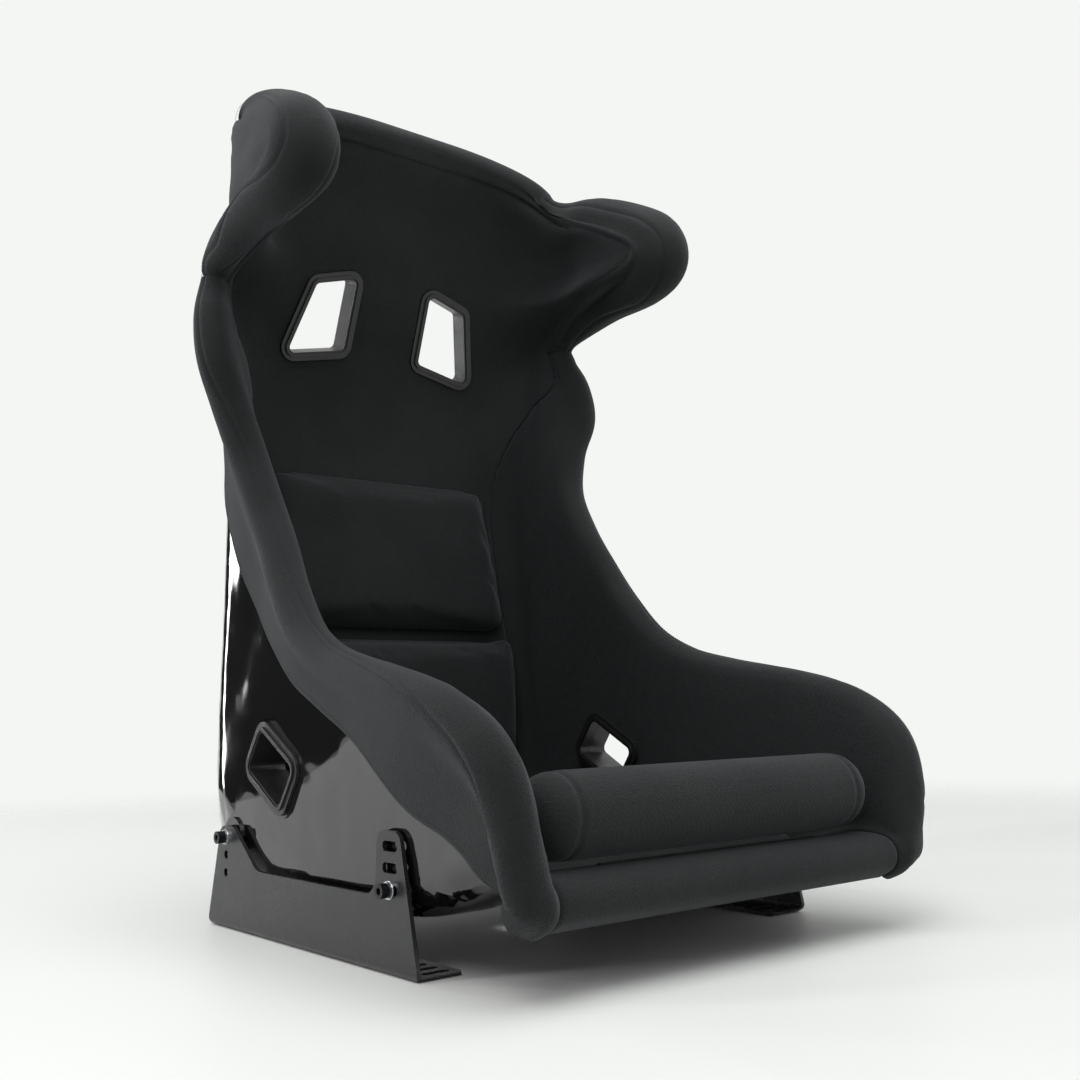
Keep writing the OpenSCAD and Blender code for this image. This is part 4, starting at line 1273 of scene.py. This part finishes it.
class SEAT_OT_cushions(bpy.types.Operator):
    """Fill the upper back, lumbar and base cushions"""
    bl_idname = "seat.cushions"
    bl_label = "Cushions"

    def execute(self, context):
        sizes = context.scene.seat_cushions
        for node, spec in CUSHIONS.items():
            obj, seam = cushion_form(node + "_pad", *spec)
            tidy_mesh(obj, merge=0)
            low = spec[4]
            remesh(obj, sizes.voxel)
            surf = []
            for u in np.linspace(spec[0] - .1, spec[1] + .1, 40):
                for d in np.linspace(0, max(spec[2:4]) + 6, 30):
                    g = face(u, d)
                    p, n = lifted(g, low) * 0.001, g[1]
                    surf.append((p, n))
                    surf.append((p * (-1, 1, 1), n * (-1, 1, 1)))
            tree = point_tree([p for p, n in surf])

            def weight(points):
                out = []
                for p in points:
                    i = tree.find(Vector(p))[1]
                    h = float((p - surf[i][0]) @ surf[i][1])
                    out.append(ease((h - 0.002) / 0.010))
                return np.array(out)
            inflate(obj, sizes.pressure, sizes.swell, weight)
            subdivided(obj)
            sink_along(obj, seam + seam[:1], 0.0022, 0.0028)
            if node == "base_cushion":
                boolean(obj, [slot_block(CROTCH_HOLE, BEZEL_RIM + 4, crotch_frame(), -20, 90)])
                tidy_mesh(obj, angle=60)
            else:
                tidy_mesh(obj, merge=0)
            fit(obj, "cushion", node, node)
        return {"FINISHED"}


class SEAT_OT_roll(bpy.types.Operator):
    """Fill the roll that lies under the thighs"""
    bl_idname = "seat.roll"
    bl_label = "Thigh roll"

    def execute(self, context):
        sizes = context.scene.seat_cushions
        r, half, seam, at = THIGH_R, THIGH_HALF, THIGH_SEAM, THIGH_AT
        # the ends are rounded caps: radius and distance from the middle
        cap = [(r * math.cos(w) ** 0.8, seam + (half - seam) * math.sin(w) ** 0.9)
               for w in np.linspace(0, math.pi / 2, 14)]
        cap[-1] = (0, half)
        outline = [(q[0], -q[1]) for q in cap[::-1]]
        outline += [(r, x) for x in np.linspace(-seam, seam, 60)[1:-1]] + cap
        n = 48
        verts, faces = [], []
        for rad, x in outline:
            for k in range(n):
                w = 2 * math.pi * k / n
                verts.append(at + np.array([x, rad * math.cos(w), rad * math.sin(w)]))
        m = len(outline)
        for i in range(m - 1):
            for k in range(n):
                faces.append((i * n + k, i * n + (k + 1) % n, (i + 1) * n + (k + 1) % n,
                              (i + 1) * n + k))
        roll = tidy_mesh(mesh_object("thigh_roll_pad", verts, faces))
        remesh(roll, sizes.voxel)
        inflate(roll, sizes.pressure, 0.0025, lambda pts: np.ones(len(pts)))
        subdivided(roll)
        for side in (-1, 1):
            ring = [at + np.array([side * seam, r * math.cos(w), r * math.sin(w)])
                    for w in np.linspace(0, 2 * math.pi, 120)]
            sink_along(roll, ring, 0.0018, 0.0024)
        low = math.radians(-60)
        back = [at + np.array([x, 37 * math.cos(low), 37 * math.sin(low)])
                for x in np.linspace(-half + 12, half - 12, 120)]
        sink_along(roll, back, 0.0016, 0.0028)
        tidy_mesh(roll, merge=0)
        fit(roll, "cushion", "thigh_roll", "thigh_roll")
        return {"FINISHED"}


class SEAT_OT_stage(bpy.types.Operator):
    """Set the floor, backdrop, lamps and camera"""
    bl_idname = "seat.stage"
    bl_label = "Stage"

    def execute(self, context):
        scene = context.scene
        # camera
        cam = bpy.data.cameras.new("camera")
        cam.sensor_width = 36
        cam.lens = CAMERA_LENS
        cam.clip_end = 60
        obj = bpy.data.objects.new("camera", cam)
        yaw, pitch, roll = CAMERA_YAW, CAMERA_PITCH, CAMERA_ROLL
        d = Vector((math.sin(yaw) * math.cos(pitch), math.cos(yaw) * math.cos(pitch),
                    math.sin(pitch)))
        r = Vector((math.cos(yaw), -math.sin(yaw), 0))
        u = r.cross(d)
        r, u = (math.cos(roll) * r + math.sin(roll) * u, -math.sin(roll) * r + math.cos(roll) * u)
        m = Matrix((r, u, -d)).transposed().to_4x4()
        m.translation = CAMERA_AT
        obj.matrix_world = m
        scene.collection.objects.link(obj)
        scene.camera = obj
        # floor that fades into the white of the room
        n = FLOOR_SIDES
        verts, faces = [np.zeros(3)], []
        for rad in FLOOR_RINGS:
            verts += [np.array([rad * math.cos(w), rad * math.sin(w), 0])
                      for w in np.linspace(0, 2 * math.pi, n, endpoint=False)]
        for k in range(n):
            j = (k + 1) % n
            faces.append((0, 1 + k, 1 + j))
            for i in range(len(FLOOR_RINGS) - 1):
                faces.append((1 + i * n + k, 1 + (i + 1) * n + k, 1 + (i + 1) * n + j,
                              1 + i * n + j))
        floor = mesh_object("floor", verts, faces, 1.0)
        mat, tree, bsdf = blank_material("Studio floor")
        colour = tuple(scene.seat_colours.floor)
        coord = tree.nodes.new("ShaderNodeTexCoord").outputs["Object"]
        cloud = texture(tree, "ShaderNodeTexNoise", coord, 1.3, Detail=3.0)
        tree.links.new(mix_colour(tree, ramp(tree, cloud.outputs["Fac"], 0.3, 0.7),
                                  tuple(v * 0.985 for v in colour), colour),
                       bsdf.inputs["Base Color"])
        distance = tree.nodes.new("ShaderNodeVectorMath")
        distance.operation = "LENGTH"
        tree.links.new(coord, distance.inputs[0])
        tree.links.new(ramp(tree, distance.outputs["Value"], 0.9, 2.5, 1.0, 0.0),
                       bsdf.inputs["Alpha"])
        preset(bsdf, Roughness=0.5, Specular_IOR_Level=0.3)
        floor.data.materials.append(mat)

        # dark screens beside the seat, with strips of light between them
        def upright(name, start, end, low, high, radius, material):
            turns = np.linspace(start, end, max(2, int(abs(end - start) / 4) + 1))
            at = [(-radius * math.sin(math.radians(w)), radius * math.cos(math.radians(w)))
                  for w in turns]
            v = [np.array([x, y, z]) for x, y in at for z in (low, high)]
            f = [(2 * k, 2 * k + 2, 2 * k + 3, 2 * k + 1) for k in range(len(at) - 1)]
            o = mesh_object(name, v, f, 1.0)
            o.data.materials.append(material)

        cloth, tree, bsdf = blank_material("Screen cloth")
        coord = tree.nodes.new("ShaderNodeTexCoord").outputs["Object"]
        # Lighter and darker blotches stand in for the shading of folds that the flat screens don't
        # have: painted shade.
        folds = texture(tree, "ShaderNodeTexNoise", coord, 3.0, Detail=2.0)
        tree.links.new(mix_colour(tree, folds.outputs["Fac"], (0.012, 0.012, 0.012),
                                  (0.03, 0.03, 0.03)), bsdf.inputs["Base Color"])
        preset(bsdf, Roughness=0.9)
        for k, (start, end) in enumerate(SCREENS):
            upright("screen_%d" % k, start, end, 0.0, 2.3, 2.5, cloth)

        def lamp(name, at, aim, size, power):
            data = bpy.data.lights.new(name, "AREA")
            data.shape = "RECTANGLE"
            data.size, data.size_y = size
            data.energy = power
            o = bpy.data.objects.new(name, data)
            o.location = at
            o.rotation_euler = (Vector(aim) - Vector(at)).to_track_quat("-Z", "Y").to_euler()
            scene.collection.objects.link(o)
        lamp("overhead", (-0.2, -0.5, 3.0), (0, 0, 0.3), (2.6, 2.6), 58)
        lamp("left_box", (-2.0, -1.6, 2.5), (0, -0.1, 0.5), (1.6, 1.6), 28)
        for k, (w, wide) in enumerate(STRIPS):
            a = math.radians(w)
            at = (-2.45 * math.sin(a), 2.45 * math.cos(a), 1.1)
            lamp("strip_%d" % k, at, (0, 0, 1.1), (wide, 2.1), 34 * wide * 2.1)
        world = bpy.data.worlds.new("studio")
        world.use_nodes = True
        tree = world.node_tree
        out = tree.nodes["World Output"]
        bg = preset(tree.nodes["Background"], Color=(0.93, 0.95, 0.94, 1), Strength=0.38)
        white = preset(tree.nodes.new("ShaderNodeBackground"), Color=(0.905, 0.92, 0.9, 1))
        path = tree.nodes.new("ShaderNodeLightPath")
        seen = math_node(tree, "MAXIMUM", path.outputs["Is Camera Ray"],
                         math_node(tree, "MAXIMUM", path.outputs["Is Glossy Ray"],
                                   path.outputs["Is Transmission Ray"]))
        both = tree.nodes.new("ShaderNodeMixShader")
        tree.links.new(seen, both.inputs[0])
        tree.links.new(bg.outputs[0], both.inputs[1])
        tree.links.new(white.outputs[0], both.inputs[2])
        tree.links.new(both.outputs[0], out.inputs["Surface"])
        scene.world = world
        scene.view_settings.view_transform = "Standard"
        return {"FINISHED"}


class SEAT_PT_panel(bpy.types.Panel):
    """Sizes, colours and pieces of the seat"""
    bl_idname = "SEAT_PT_panel"
    bl_label = "Racing seat"
    bl_space_type = "VIEW_3D"
    bl_region_type = "UI"
    bl_category = "Racing seat"

    def draw(self, context):
        for group in (context.scene.seat_sewing, context.scene.seat_cushions,
                      context.scene.seat_colours):
            box = self.layout.box()
            for name in group.__annotations__:
                box.prop(group, name)
        for cls in OPERATORS:
            self.layout.operator(cls.bl_idname)


GROUPS = {"seat_sewing": SeatSewing, "seat_cushions": SeatCushions, "seat_colours": SeatColours}
OPERATORS = (SEAT_OT_stage, SEAT_OT_materials, SEAT_OT_shell, SEAT_OT_bolsters, SEAT_OT_head,
             SEAT_OT_panels, SEAT_OT_cushions, SEAT_OT_roll)


def register():
    for cls in (*GROUPS.values(), *OPERATORS, SEAT_PT_panel):
        bpy.utils.register_class(cls)
    for name, cls in GROUPS.items():
        setattr(bpy.types.Scene, name, bpy.props.PointerProperty(type=cls))


def unregister():
    for name in GROUPS:
        delattr(bpy.types.Scene, name)
    for cls in reversed((*GROUPS.values(), *OPERATORS, SEAT_PT_panel)):
        bpy.utils.unregister_class(cls)


def main():
    register()
    for cls in OPERATORS:
        group, name = cls.bl_idname.split(".")
        getattr(getattr(bpy.ops, group), name)()


if __name__ == "__main__":
    main()
